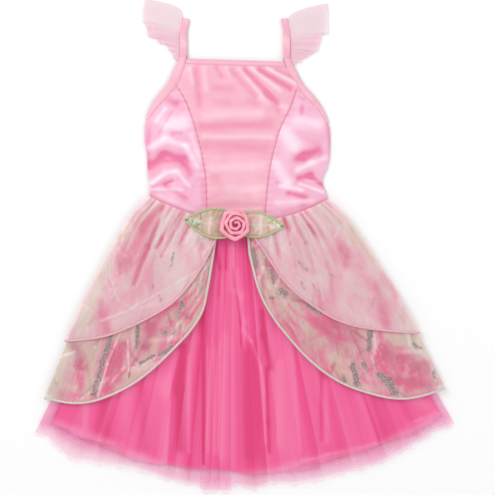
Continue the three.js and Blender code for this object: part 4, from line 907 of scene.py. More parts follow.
def tulle_net(name, colour, alpha):
    """Soft net: one layer half hides what is under it, with painted fold shading, and sheer at the hem."""
    made = Finish(name, Roughness=0.8, Specular_IOR_Level=0.2)
    streaks = made.noise(made.across_cloth((70, 3, 1)), 1.0, 3)
    painted_shading_and_tone = made.math("ADD", made.mark("painted_shading_and_tone"), made.range(streaks, 0.3, 0.7, -0.5, 0.5))
    sheer = made.mark("sheer")
    painted_shading_and_tone = made.math("MULTIPLY_ADD", sheer, 0.8, painted_shading_and_tone)
    made.surface("Alpha", made.range(sheer, -1, 1, 1.6 * alpha, 0.4 * alpha))
    # The ramp paints shade at its deep end and highlight at its pale end
    made.colour(made.ramp(made.range(painted_shading_and_tone, -1, 1), [
        (0, tinted(colour, 0.6, 228, 50, 118)), (1, tinted(colour, 0.55, 255, 186, 216)), (0.5, colour)]))
    mesh = made.node("ShaderNodeTexVoronoi", {"feature": "DISTANCE_TO_EDGE"},
                     Vector=made.across_cloth((1, 1, 1)), Scale=700.0)
    made.bump(mesh.outputs["Distance"], 0.25, 0.0003)
    return made.material


def film_organza(name, colour, silver, alpha):
    """Iridescent film: patches from pink through cream to grey-green, painted shading and painted silver glints.
    """
    made = Finish(name, Roughness=0.24, Alpha=alpha, Specular_IOR_Level=0.6, Coat_Weight=0.3,
                  Coat_Roughness=0.12)
    patches = made.noise(made.across_cloth((17, 12, 1)), 1.0, 3, 0.5, 2.2)
    shift = made.math("ADD", made.range(patches, 0.36, 0.64, -1.02, 0.68), made.mark("cream"))
    body = made.ramp(made.range(shift, -1, 1.4), [
        (0.0, tinted(colour, 0.85, 246, 104, 148)), (1.0, tinted(colour, 0.55, 196, 208, 178)),
        (0.22, tinted(colour, 0.75, 244, 142, 172)), (0.42, tinted(colour, 0.6, 224, 176, 184)),
        (0.6, tinted(colour, 0.6, 232, 206, 186)), (0.8, tinted(colour, 0.6, 214, 210, 180))])
    # Painted shade and painted highlight, from the painted shading mark and fine threads
    threads = made.noise(made.across_cloth((420, 60, 1)), 1.0, 2)
    light = made.math("ADD", made.mark("painted_shading_and_tone"), made.range(threads, 0.3, 0.7, -0.22, 0.22))
    deep = made.blend(made.range(light, 0, -1.2), body, tinted(colour, 0.8, 186, 92, 120))
    pale = made.blend(made.range(light, 0, 1.1), deep, linear(255, 240, 240))
    # Painted glints: silver-grey reflections with a pale painted halo, set by the glint mark and specks
    specks = made.noise(made.across_cloth((150, 70, 1)), 1.0, 4, 0.6, 0.6)
    glint = made.math("ADD", made.mark("glint"), made.range(specks, 0.34, 0.66, -0.4, 0.4))
    halo = made.blend(made.range(glint, 0.3, 0.46, 0, 0.7), pale, linear(208, 210, 198))
    sparkle = made.noise(made.across_cloth((700, 380, 1)), 1.0, 3)
    grey = made.ramp(sparkle, [(0.36, tuple(0.72 * c for c in silver)), (0.68, linear(206, 214, 204)),
                               (0.5, silver)])
    made.colour(made.blend(made.range(glint, 0.44, 0.62), halo, grey))
    made.bump(made.noise(made.across_cloth((120, 60, 1)), 1.0, 3, 0.6), 0.3, 0.0006)
    return made.material


def leaf_organza(name, colour, alpha):
    """Sheer ribbon: a cast from pink through cream to mint, painted shading, and fine crosswise threads."""
    made = Finish(name, Roughness=0.3, Alpha=alpha, Coat_Weight=0.3, Coat_Roughness=0.15)
    patches = made.noise(made.in_space((130, 90, 90)), 1.0, 3, 0.6, 0.8)
    cast = made.math("ADD", made.range(patches, 0.35, 0.65, -0.7, 0.7), made.mark("cream"))
    body = made.ramp(made.range(cast, -1, 1), [
        (0.1, tinted(colour, 0.85, 240, 172, 176)), (0.9, tinted(colour, 0.9, 200, 240, 214)),
        (0.35, tinted(colour, 0.7, 224, 184, 164)), (0.62, tinted(colour, 0.6, 210, 206, 164))])
    threads = made.noise(made.in_space((700, 90, 90)), 1.0, 2)
    light = made.math("ADD", made.mark("painted_shading_and_tone"), made.range(threads, 0.3, 0.7, -0.22, 0.18))
    # Painted shade towards brown and painted highlight towards near white
    deep = made.blend(made.range(light, 0, -1), body, linear(150, 130, 100))
    made.colour(made.blend(made.range(light, 0, 1), deep, linear(250, 255, 246)))
    made.bump(threads, 0.2, 0.0003)
    return made.material


def pink_organza(name, colour, silver, alpha):
    """Sheer pink organza with a pearly cast, cream in places: painted fold shading and painted silver glints."""
    made = Finish(name, Roughness=0.3, Alpha=alpha, Specular_IOR_Level=0.5, Sheen_Weight=0.2, Coat_Weight=0.15)
    cast = made.noise(made.across_cloth((13, 9, 1)), 1.0, 3, 0.5, 1.8)
    shift = made.math("ADD", made.range(cast, 0.36, 0.64, -0.7, 0.45), made.mark("cream"))
    body = made.ramp(made.range(shift, -1, 1), [
        (0, tinted(colour, 0.85, 248, 170, 200)), (1, tinted(colour, 0.8, 236, 232, 206)), (0.5, colour)])
    threads = made.noise(made.across_cloth((500, 40, 1)), 1.0, 2)
    painted_shading_and_tone = made.math("ADD", made.mark("painted_shading_and_tone"), made.range(threads, 0.3, 0.7, -0.12, 0.12))
    # Painted shade in the folds and painted highlight on them
    deep = made.blend(made.range(painted_shading_and_tone, 0, -1), body, linear(226, 96, 132))
    pale = made.blend(made.range(painted_shading_and_tone, 0, 1), deep, linear(255, 244, 246))
    # Painted glints: silver reflections of the film underneath, where the strokes mark them
    specks = made.noise(made.across_cloth((220, 110, 1)), 1.0, 4, 0.6, 0.6)
    glint = made.math("MULTIPLY", made.mark("glint"), made.range(specks, 0.42, 0.54))
    made.colour(made.blend(made.range(glint, 0.1, 0.8), pale, silver))
    made.bump(threads, 0.15, 0.0003)
    return made.material


def sleeve_organza(name, colour, alpha):
    """Crisp pink organza of the sleeves, paler where it is doubled, with painted shading and a fine thread."""
    made = Finish(name, Roughness=0.5, Alpha=alpha, Sheen_Weight=0.2)
    threads = made.noise(made.across_cloth((60, 420, 1)), 1.0, 2)
    painted_shading_and_tone = made.math("ADD", made.mark("painted_shading_and_tone"), made.range(threads, 0.3, 0.7, -0.15, 0.15))
    made.colour(made.ramp(made.range(painted_shading_and_tone, -1, 1), [
        (0, tinted(colour, 0.6, 244, 156, 190)), (1, tinted(colour, 0.8, 248, 231, 235)), (0.5, colour)]))
    made.bump(threads, 0.2, 0.0003)
    return made.material


def thread(name, colour, shine=0.0):
    """Twisted thread: a fine spiral of light and shade."""
    made = Finish(name, Roughness=0.55, Metallic=shine, Sheen_Weight=0.3)
    ply = made.noise(made.in_space((900, 900, 900)), 1.0, 2)
    made.colour(made.ramp(made.range(ply, 0.3, 0.7), [(0, tuple(c * 0.72 for c in colour)), (1, colour)]))
    made.bump(ply, 0.3, 0.0002)
    return made.material


def plain_floor(name, colour):
    """Smooth pale paper."""
    made = Finish(name, Roughness=0.9, Specular_IOR_Level=0.1)
    grain = made.noise(made.in_space((40, 40, 40)), 1.0, 2)
    made.colour(made.ramp(grain, [(0, tuple(c * 0.99 for c in colour)), (1, colour)]))
    return made.material


_finishes = {}


def finish(name):
    """One of the dress's finishes by name, made when it is first asked for."""
    c = bpy.context.scene.dress_colours
    pick = {
        # Each satin's two colours after its own are its painted shade and its painted highlight
        "centre_satin": lambda: satin("centre_satin", tuple(c.centre_satin), linear(232, 134, 164),
                                      linear(253, 212, 224), 0.38),
        "side_satin": lambda: satin("side_satin", tuple(c.side_satin), linear(230, 118, 158),
                                    linear(252, 220, 236), 0.32),
        "binding": lambda: satin("binding_satin", tuple(c.binding), linear(238, 158, 182),
                                 linear(252, 216, 226), 0.45),
        "rose": lambda: satin("rose_ribbon", tuple(c.rose), linear(218, 106, 136), linear(250, 178, 194), 0.4),
        "sleeve": lambda: sleeve_organza("sleeve_organza", tuple(c.sleeve), c.sleeve_alpha),
        "tulle": lambda: tulle_net("tulle_net", tuple(c.tulle), c.tulle_alpha),
        "lining": lambda: lining_cloth("lining_cloth", tuple(c.lining)),
        "film": lambda: film_organza("film_organza", tuple(c.film), tuple(c.film_silver), c.film_alpha),
        "organza": lambda: pink_organza("pink_organza", tuple(c.organza), tuple(c.film_silver), c.organza_alpha),
        "leaf": lambda: leaf_organza("leaf_organza", tuple(c.leaf), 0.74),
        "silver": lambda: thread("silver_thread", tuple(c.silver), 0.15),
        "pink_thread": lambda: thread("pink_thread", tuple(c.pink_thread)),
        "green_thread": lambda: thread("green_thread", tuple(c.green_thread)),
        "knot": lambda: thread("knot_thread", tuple(0.45 * part for part in c.green_thread)),
        "floor": lambda: plain_floor("pale_floor", tuple(c.floor)),
    }
    if name not in _finishes:
        _finishes[name] = pick[name]()
    return _finishes[name]


# Skirt
def fan_layer(columns, rows, edge, hem, spread=lambda v: 0.0):
    """A layer that covers the whole front or back: u, v, x and y over its grid."""
    a, b = cells(columns, rows)
    u = edge * (2 * a - 1)
    v = b * hem(u)
    x, y = skirt_plan(u, v, spread(v))
    return u, v, x, y


def rounding(u, v):
    """0 at the side folds and 1 inside, so that folds die out towards the sides."""
    return 1 - (1 - np.clip((1 - np.abs(u)) * half_width(v) / SIDE_ROUNDING, 0, 1)) ** 2


def deep_pink_end(x):
    return np.interp(x, *np.array(DEEP_PINK_ENDS).T)


def tulle_hem_v(u):
    """How far down the fan the tulle's uneven hem lies on each fan line."""
    xs, ys = np.array(TULLE_HEM).T
    x = HEM["middle"] + HEM["half"] * u
    top = waist_y(WAIST["middle"] + WAIST["half"] * u) - SEAM_GAP
    return (np.interp(x, xs, ys) - top) / (hem_y(u) - top)


def lapped_folds(folds, columns, rows, gathers):
    """Folds that lap over each other: their u, height from about 0 to 1, and painted shading over the grid."""
    edges, laps, fold_shading = np.array(folds, float).T
    count = len(folds) - 1
    phase = np.linspace(0, count, columns + 1)
    b = np.linspace(0, 1, rows + 1)[:, None]
    nearest = np.clip(np.rint(phase).astype(int), 0, count)
    middle = np.argmin(np.abs(edges))
    turn = np.where(nearest <= middle, 1.0, -1.0)
    settle = np.clip(np.minimum(phase, count - phase) / 0.6, 0, 1)
    lap = 0.62 * laps[nearest] * settle * mix(1.25, 0.95, b)
    moved = np.clip(phase - lap * turn * np.sin(2 * np.pi * phase), 0, count)
    x = np.interp(moved, np.arange(count + 1), edges)
    u = np.clip((x - HEM["middle"]) / HEM["half"], -1, 1)
    height = 0.5 + 0.5 * turn * np.sin(2 * np.pi * phase)
    small = wave(gathers * phase + 0.2 * np.sin(phase * 5)) * (1 - ease(0.12, 0.7, b))
    share = phase - np.floor(phase)
    before, after = (fold_shading[f(phase).astype(int).clip(0, count)] for f in (np.floor, np.ceil))
    painted_shading_and_tone = mix(before, after, ease(0.25, 0.75, share))
    return u, height * mix(0.55, 1, ease(0, 0.4, b)) + 0.45 * small, painted_shading_and_tone + 0 * b


class DRESS_OT_skirt_backs(Operator):
    """Lays the backs of the overskirts, tulle and underskirt, which the dress lies on"""

    bl_idname = "dress.skirt_backs"
    bl_label = "Skirt backs"

    def execute(self, context):
        for layer in ("upper", "lower"):
            plan, flat = OVERSKIRTS[layer], OVERSKIRTS[layer]["back_cut"]
            hem = CORNER[layer] - BACK_SHORTER
            u, v, x, y = fan_layer(120, 60, 1.0, lambda u: hem, spread_of(layer))
            folds = wave(11 * u + 0.6 * np.sin(5 * u)) * rounding(u, v) * 0.5
            points = PILE.lay(points_of(x, y, plan["back_height"] + plan["back_fold"] * folds))
            # Painted shading of random crinkles
            painted_shading_and_tone = crinkles(x, y, plan["back_seed"], 70, 70, 4, 0, 0.3)[1]
            marks = {"painted_shading_and_tone": painted_shading_and_tone, "cream": 0 * u, "glint": 0 * u}
            piece = cloth(f"overskirt_{layer}_back_cloth", points, finish(plan["finish"]), marks,
                          faces_up=False)
            finished(piece, plan["slot"], [f"overskirt_{layer}_back"], flat=flat, held="gathered",
                     area=plan["back_share"] * flat[0] * flat[1])
        u, height, painted_shading_and_tone = lapped_folds(TULLE_FOLDS, 300, 60, 2)
        b = np.linspace(0, 1, 61)[:, None]
        v = b * (tulle_hem_v(u) - BACK_SHORTER)
        x, y = skirt_plan(u, v)
        points = PILE.lay(points_of(x, y, 1.2 + 1.6 * height * rounding(u, v)), gap=0.15)
        # Painted shading of the folds, and sheer towards the hem
        marks = {"painted_shading_and_tone": painted_shading_and_tone, "sheer": 0.4 + 0.6 * ease(0.9, 1, b) + 0 * u}
        finished(cloth("tulle_back_net", points, finish("tulle"), marks, faces_up=False),
                 "tulle", ["tulle_back"], flat=(1.0, 0.42), held="gathered", area=0.26)
        u, v, x, y = fan_layer(160, 60, LINING["edge"], lambda u: LINING["hem"])
        points = PILE.lay(points_of(x, y, 3.0 + 0.8 * wave(13 * u) * rounding(u, v)))
        marks = {"painted_shading_and_tone": 0 * u, "sheer": ease(0.85, 0.97, v / LINING["hem"])}
        finished(cloth("lining_back_cloth", points, finish("lining"), marks, thick=0.2, faces_up=False),
                 "lining", ["lining_back"], flat=(0.6, 0.4), held="gathered", area=0.172)
        return {"FINISHED"}


class DRESS_OT_lining(Operator):
    """Lays the front of the hot pink underskirt"""

    bl_idname = "dress.lining"
    bl_label = "Underskirt"

    def execute(self, context):
        level = top_of("lining_front", soften=4)
        u, v, x, y = fan_layer(220, 80, LINING["edge"],
                               lambda u: LINING["hem"] + 0.006 * np.sin(9 * u) + 0.004 * np.sin(23 * u + 1))
        folds = wave(10 * u + 0.5 * np.sin(6 * u)) * rounding(u, v)
        points = PILE.lay(points_of(x, y, level(x, y) - 2.2 + 1.6 * folds * ease(0, 0.3, v)))
        ends = deep_pink_end(x)
        # Painted shade and highlight from the tulle's folds over it and from its own folds
        marks = {"painted_shading_and_tone": 1.1 * strokes(x, y, TULLE_STROKES)[1] + 0.25 * (folds - 0.5),
                 "sheer": ease(ends + 14, ends - 12, y)}
        finished(cloth("lining_front_cloth", points, finish("lining"), marks, thick=0.3),
                 "lining", ["lining_front"], flat=(0.62, 0.4), held="gathered", rests_on=["lining_back_cloth"],
                 area=0.176)
        return {"FINISHED"}


class DRESS_OT_tulle(Operator):
    """Lays the front of the tulle skirt, in folds that lap over each other"""

    bl_idname = "dress.tulle"
    bl_label = "Tulle skirt"

    def execute(self, context):
        sizes = context.scene.dress_sizes
        level = top_of("tulle_front", soften=4)
        u, height, painted_shading_and_tone = lapped_folds(TULLE_FOLDS, 520, 110, sizes.gathers)
        b = np.linspace(0, 1, 111)[:, None]
        uneven = 0.004 * np.sin(61 * u) + 0.003 * np.sin(137 * u + 2)
        v = b * (tulle_hem_v(u) + uneven * ease(0.7, 1, b))
        x, y = skirt_plan(u, v)
        fold = sizes.tulle_fold_height / MM
        drawn = strokes(x, y, TULLE_STROKES)
        z = level(x, y) - 1.2 - fold + (fold * height + drawn[0]) * rounding(u, v)
        points = PILE.lay(points_of(x, y, z), gap=0.1)
        below = deep_pink_end(x) - y
        # The band where the net lies double, under the deep pink's end, and the parts of the hem that are paler
        layered = ease(-6, 6, below) * (1 - ease(6, 30, below))
        paler = 0.15 + 0.3 * ease(-60, -200, x) - 0.4 * ease(90, 220, x)
        # Painted shading: the folds', the strokes', lighter where the net stands high, and painted shade by the
        # waist
        marks = {"painted_shading_and_tone": painted_shading_and_tone + 1.4 * drawn[1] + 0.5 * (height - 0.5) - 0.35 * (1 - ease(0, 0.16, b)),
                 "sheer": ease(0.92, 1, b) * (1 + paler) - 0.55 * layered}
        finished(cloth("tulle_front_net", points, finish("tulle"), marks),
                 "tulle", ["tulle_front"], flat=(1.1, 0.42), held="gathered", rests_on=["lining_front_cloth"],
                 area=0.265)
        return {"FINISHED"}


def overskirt_grid(key, columns, rows):
    """One side of an overskirt, from its side fold to the front edge that curves away."""
    edge = FRONT_EDGES[key]
    layer, end = key.split("_")
    a, b = cells(columns, rows)
    u = mix(1, edge[0][0], a)
    v = b * through(edge)(u)
    x, y = skirt_plan(SIGN[end] * u, v, spread_of(layer)(v))
    return u, v, x, y


def edging_path(points, width, inside):
    """A line just outside an overskirt's front edge and lower edge, out to its corner, in steps of 3 mm."""
    line = np.concatenate([points[1:, -1], points[-1, -2::-1]])
    travelled = np.concatenate([[0], np.linalg.norm(np.diff(line[:, :2], axis=0), axis=1).cumsum()])
    even = np.linspace(0, travelled[-1], int(travelled[-1] / 3))
    line = np.stack([np.interp(even, travelled, line[:, k]) for k in range(3)], axis=1)
    along = np.gradient(line[:, :2], axis=0)
    along /= np.linalg.norm(along, axis=1, keepdims=True)
    out = np.stack([along[:, 1], -along[:, 0]], axis=1)
    out[((inside - line[:, :2]) * out).sum(axis=1) > 0] *= -1
    line[:, :2] += out * (width / 2 + SEAM_GAP)
    return line


class DRESS_OT_overskirts(Operator):
    """Lays both sides of the film overskirt and of the pink organza one over it, with their edges"""

    bl_idname = "dress.overskirts"
    bl_label = "Overskirts"

    def execute(self, context):
        sizes = context.scene.dress_sizes
        for layer, plan in OVERSKIRTS.items():
            table = FILM_STROKES if layer == "lower" else ORGANZA_STROKES
            for end in ("left", "right"):
                key = f"{layer}_{end}"
                node = f"overskirt_{key}"
                level = top_of(node)
                u, v, x, y = overskirt_grid(key, 215, 145)
                height, painted_shading_and_tone, cream, glint = strokes(x, y, table[end])
                small, crinkle_shading = crinkles(x, y, plan["side_seed"] + (end == "left"), plan["crinkles"], 44,
                                             plan["crinkle_width"], sizes.crinkle_height / MM)
                gathers = (wave(9 * u + 1.3 * np.sin(7 * u) + 0.5 * np.sin(19 * u)) ** 1.6
                           * (1 - ease(0.03, 0.36, v)))
                z = level(x, y) - 1.3 + height + small + 0.9 * gathers * rounding(u, v)
                points = PILE.lay(points_of(x, y, z))
                # Painted shading of the strokes and crinkles, with painted highlight on the waist gathers and
                # painted shade between them. The glint mark is a painted reflection.
                marks = {"painted_shading_and_tone": painted_shading_and_tone + crinkle_shading * plan["crinkle_shading_share"]
                         + (0.8 * gathers - 0.2) * (1 - v) ** 3,
                         "cream": cream + plan["fold_cream"][end] * ease(0.82, 1, u),
                         "glint": glint}
                flat = plan["side_cut"]
                finished(cloth(f"{node}_cloth", points, finish(plan["finish"]), marks), plan["slot"], [node],
                         flat=flat, held="gathered", rests_on=["tulle_front_net"],
                         area=SIDE_SHARE * flat[0] * flat[1])
                self.edge(key, points, plan, sizes.overlock_spacing)
        return {"FINISHED"}

    def edge(self, key, points, plan, spacing):
        """The edging: a soft core and the threads wrapped over it."""
        width, thick = plan["edge_width"], plan["edge_thick"]
        inside = np.array(skirt_plan(np.array(SIGN[key.split("_")[1]] * 0.9), np.array(0.2))).ravel()
        line = edging_path(points, width, inside)
        need = PILE.under(line[:, 0], line[:, 1]) + LAY_GAP
        line[:, 2] = blurred(np.maximum(need, line[:, 2]), 2, axes=(0,)) + thick / 2
        material, slot = finish(plan["edge_finish"]), plan["edge_slot"]
        finished(tube(f"edging_{key}_core", line, width, thick, material), slot, [f"edging_{key}"])
        for offset in (-width / 3, 0, width / 3):
            PILE.add(line + (offset, offset, thick / 2))
        finished(wrapped_threads(f"edging_{key}_threads", [line], width + 0.5, thick + 0.4,
                                 spacing * plan["edge_spacing"], 0.00035, 0.25, material), slot)


# Rows of thread, by geometry nodes
def thread_tree(kind):
    """A node group that sets short threads along a line: wraps that arch over it, or stitches that lie on it."""
    tree = bpy.data.node_groups.new(f"{kind} along a line", "GeometryNodeTree")
    sockets = {}
    for name, socket_type in (("Geometry", "Geometry"), ("Spacing", "Float"), ("Width", "Float"),
                              ("Height", "Float"), ("Thread radius", "Float"), ("Lean", "Float"),
                              ("Thread", "Material")):
        socket = tree.interface.new_socket(name, in_out="INPUT", socket_type=f"NodeSocket{socket_type}")
        sockets[name] = socket.identifier
    tree.interface.new_socket("Geometry", in_out="OUTPUT", socket_type="NodeSocketGeometry")

    def add(node_type, output, settings=None, **inputs):
        return add_node(tree, node_type, settings, **inputs).outputs[output]

    given = tree.nodes.new("NodeGroupInput").outputs
    line = add("GeometryNodeMeshToCurve", "Curve", Mesh=given["Geometry"])
    upright = add("GeometryNodeSetCurveNormal", "Curve", {"mode": "Z_UP"}, Curve=line)
    places = add_node(tree, "GeometryNodeCurveToPoints", {"mode": "LENGTH"}, Curve=upright,
                      Length=given["Spacing"])
    across = add("FunctionNodeAlignRotationToVector", "Rotation", {"axis": "Y", "pivot_axis": "Z"},
                 Vector=places.outputs["Tangent"])
    turned = add("FunctionNodeRotateRotation", "Rotation", {"rotation_space": "LOCAL"}, Rotation=across,
                 Rotate_By=add("ShaderNodeCombineXYZ", "Vector", Z=given["Lean"]))
    if kind == "wraps":
        arc = add("GeometryNodeCurveArc", "Curve", Resolution=7, Radius=0.5, Start_Angle=0.0,
                  Sweep_Angle=math.pi)
        shape = add("GeometryNodeTransform", "Geometry", Geometry=arc, Rotation=(math.pi / 2, 0, 0))
    else:
        shape = add("GeometryNodeCurvePrimitiveLine", "Curve", Start=(0, -0.5, 0), End=(0, 0.5, 0))
    size = add("ShaderNodeCombineXYZ", "Vector", X=given["Width"], Y=given["Width"], Z=given["Height"])
    sized = add("GeometryNodeTransform", "Geometry", Geometry=shape, Scale=size)
    section = add("GeometryNodeCurvePrimitiveCircle", "Curve", Resolution=4, Radius=given["Thread radius"])
    solid = add("GeometryNodeCurveToMesh", "Mesh", Curve=sized, Profile_Curve=section, Fill_Caps=True)
    copies = add("GeometryNodeInstanceOnPoints", "Instances", Points=places.outputs["Points"], Instance=solid,
                 Rotation=turned)
    real = add("GeometryNodeRealizeInstances", "Geometry", Geometry=copies)
    dressed = add("GeometryNodeSetMaterial", "Geometry", Geometry=real, Material=given["Thread"])
    add_node(tree, "NodeGroupOutput", Geometry=dressed)
    return tree, sockets


_trees = {}


def threads_along(kind, name, lines, values):
    """The node group's result on one or more lines in layout millimetres, as a plain mesh object."""
    if kind not in _trees:
        _trees[kind] = thread_tree(kind)
    tree, sockets = _trees[kind]
    vertices, edges = [], []
    for line in lines:
        first = len(vertices)
        vertices += [tuple(p) for p in in_frame(line)]
        edges += [(first + i, first + i + 1) for i in range(len(line) - 1)]
    mesh = bpy.data.meshes.new(f"{name}_line")
    mesh.from_pydata(vertices, edges, [])
    guide = linked(f"{name}_line", mesh)
    modifier = guide.modifiers.new("Threads", "NODES")
    modifier.node_group = tree
    for key, value in values.items():
        modifier[sockets[key]] = value
    bpy.context.view_layer.update()
    evaluated = guide.evaluated_get(bpy.context.evaluated_depsgraph_get())
    plain = bpy.data.meshes.new_from_object(evaluated)
    plain.name = name
    bpy.data.objects.remove(guide)
    if len(plain.polygons) == 0:
        raise RuntimeError(f"no threads were made for {name}")
    plain.shade_smooth()
    return linked(name, plain)


def wrapped_threads(name, lines, width, height, spacing, radius, lean, material):
    """Threads wrapped over one or more lines, sizes in millimetres but for spacing and radius in metres."""
    lines = [line - (0, 0, height / 2 - 0.3) for line in lines]
    return threads_along("wraps", name, lines, {
        "Spacing": spacing, "Width": width * MM, "Height": 2 * height * MM, "Thread radius": radius,
        "Lean": lean, "Thread": material})


def sewn_stitches(name, lines, spacing, length, radius, material):
    return threads_along("stitches", name, lines, {
        "Spacing": spacing, "Width": length, "Height": length, "Thread radius": radius, "Lean": 0.0,
        "Thread": material})


# Bodice
SIDE = {"left": through(SIDE_FOLD_LEFT), "right": through(SIDE_FOLD_RIGHT)}
ARMHOLE = {"left": through(ARMHOLE_LEFT), "right": through(ARMHOLE_RIGHT)}
PRINCESS = {"left": through(PRINCESS_LEFT), "right": through(PRINCESS_RIGHT)}
SHOULDER = {"left": SIDE_FOLD_LEFT[0][0], "right": SIDE_FOLD_RIGHT[0][0]}
_bodice_level = {}


def bodice_level(x, y):
    """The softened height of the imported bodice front."""
    if not _bodice_level:
        _bodice_level["at"] = top_of("bodice_front_left", "bodice_front_centre", "bodice_front_right", soften=2)
    return _bodice_level["at"](x, y)


def seam_pucker(x, y):
    """The groove of the princess seams and the small puckers that run from it: height and painted shading."""
    total, painted_shading_and_tone = np.zeros_like(x), np.zeros_like(x)
    for end in ("left", "right"):
        away = np.abs(x - PRINCESS[end](y))
        there = ease(SEAM_TOP[end] + 6, SEAM_TOP[end] - 10, y)
        pucker = np.sin(2 * np.pi * y / 9.5 + 1.3 * np.sin(y / 17)) * bell(away, 9) * there
        total += -0.7 * bell(away, 2.2) * there + 0.2 * pucker
        # Painted light and shade across the puckers, and painted shade along the seam's groove
        painted_shading_and_tone += 0.1 * pucker - 0.7 * bell(away, 1.2) * there
    return total, painted_shading_and_tone


def bodice_panel(name, finish_name, slot, node, left, right, tops, table, grid, sizes):
    """One panel of the satin front, between two curves and from the waist to a line between its two tops."""
    a, b = cells(*grid)
    bottom_x = mix(left(waist_y(left(0.0))), right(waist_y(right(0.0))), a)
    bottom_y = waist_y(bottom_x) + SEAM_GAP
    y = mix(mix(*tops, a), bottom_y, b)
    x = mix(left(y) + SEAM_GAP / 2, right(y) - SEAM_GAP / 2, a)
    height, painted_shading_and_tone = strokes(x, y, table)[:2]
    pucker, pucker_shading = seam_pucker(x, y)
    small, crinkle_shading = crinkles(x, y, 21 + grid[0], 26, 40, 5, 0.16, 1.2)
    at_waist = bell(y - bottom_y, 3.5)
    z = bodice_level(x, y) + sizes.crease_height * (height + small) + pucker - 0.8 * at_waist
    points = BODICE_PILE.lay(points_of(x, y, z))
    # Painted shading of the strokes, seams and crinkles, and painted shade along the waist seam
    marks = {"painted_shading_and_tone": painted_shading_and_tone + pucker_shading + 0.4 * crinkle_shading - 0.35 * at_waist}
    *flat, area = BODICE_CUTS[node]
    finished(cloth(name, points, finish(finish_name), marks, thick=sizes.satin_thickness / MM), slot, [node],
             flat=tuple(flat), area=area, held="laid",
             rests_on=["bodice_back_left_satin", "bodice_back_right_satin"])


class DRESS_OT_bodice(Operator):
    """Lays the bodice: two back panels, and the centre and side panels of the satin front"""

    bl_idname = "dress.bodice"
    bl_label = "Bodice"

    def execute(self, context):
        sizes = context.scene.dress_sizes
        for end, sign in SIGN.items():
            self.back(end, sign)
        a_left, a_right = ARMHOLE["left"], ARMHOLE["right"]

        def centre_left(y):
            return np.where(y > SEAM_TOP["left"], a_left(y) + SEAM_GAP, PRINCESS["left"](y))

        def centre_right(y):
            return np.where(y > SEAM_TOP["right"], a_right(y) - SEAM_GAP, PRINCESS["right"](y))

        def outer_left(y):
            return np.maximum(SIDE["left"](y), a_left(y) + SEAM_GAP)

        def outer_right(y):
            return np.minimum(SIDE["right"](y), a_right(y) - SEAM_GAP)

        bodice_panel("bodice_centre_satin", "centre_satin", "centre_satin", "bodice_front_centre", centre_left,
                     centre_right, (NECK_EDGE[0][1], NECK_EDGE[1][1]), SATIN_CENTRE_STROKES, (110, 150), sizes)
        bodice_panel("bodice_left_satin", "side_satin", "satin", "bodice_front_left", outer_left,
                     PRINCESS["left"], (SEAM_TOP["left"],) * 2, SATIN_SIDE_STROKES, (70, 130), sizes)
        bodice_panel("bodice_right_satin", "side_satin", "satin", "bodice_front_right", PRINCESS["right"],
                     outer_right, (SEAM_TOP["right"],) * 2, SATIN_SIDE_STROKES, (70, 130), sizes)
        return {"FINISHED"}

    def back(self, end, sign):
        """A back panel, from centre back to the side fold and the armhole."""
        a, b = cells(40, 60)
        side, armhole = SIDE[end], ARMHOLE[end]
        bottom_x = mix(WAIST["middle"], side(waist_y(side(0.0))), a)
        y = mix(BACK_NECK_Y, waist_y(bottom_x) + SEAM_GAP, b)
        outer = np.where(y > UNDERARM[end], mix(side(y), armhole(y), 0.7), side(y)) - sign
        x = mix(WAIST["middle"] + sign * SEAM_GAP / 2, outer, a)
        # Painted shading of random crinkles
        rise, painted_shading_and_tone = crinkles(x, y, 31 + sign, 20, 60, 7, 0.15, 1.2)
        points = BODICE_PILE.lay(points_of(x, y, 1.15 + np.clip(rise, -0.2, 0.2)))
        node = f"bodice_back_{end}"
        *flat, area = BODICE_CUTS[node]
        finished(cloth(f"{node}_satin", points, finish("centre_satin"), {"painted_shading_and_tone": 0.5 * painted_shading_and_tone}, thick=0.9),
                 "centre_satin", [node], flat=tuple(flat), area=area, held="laid")


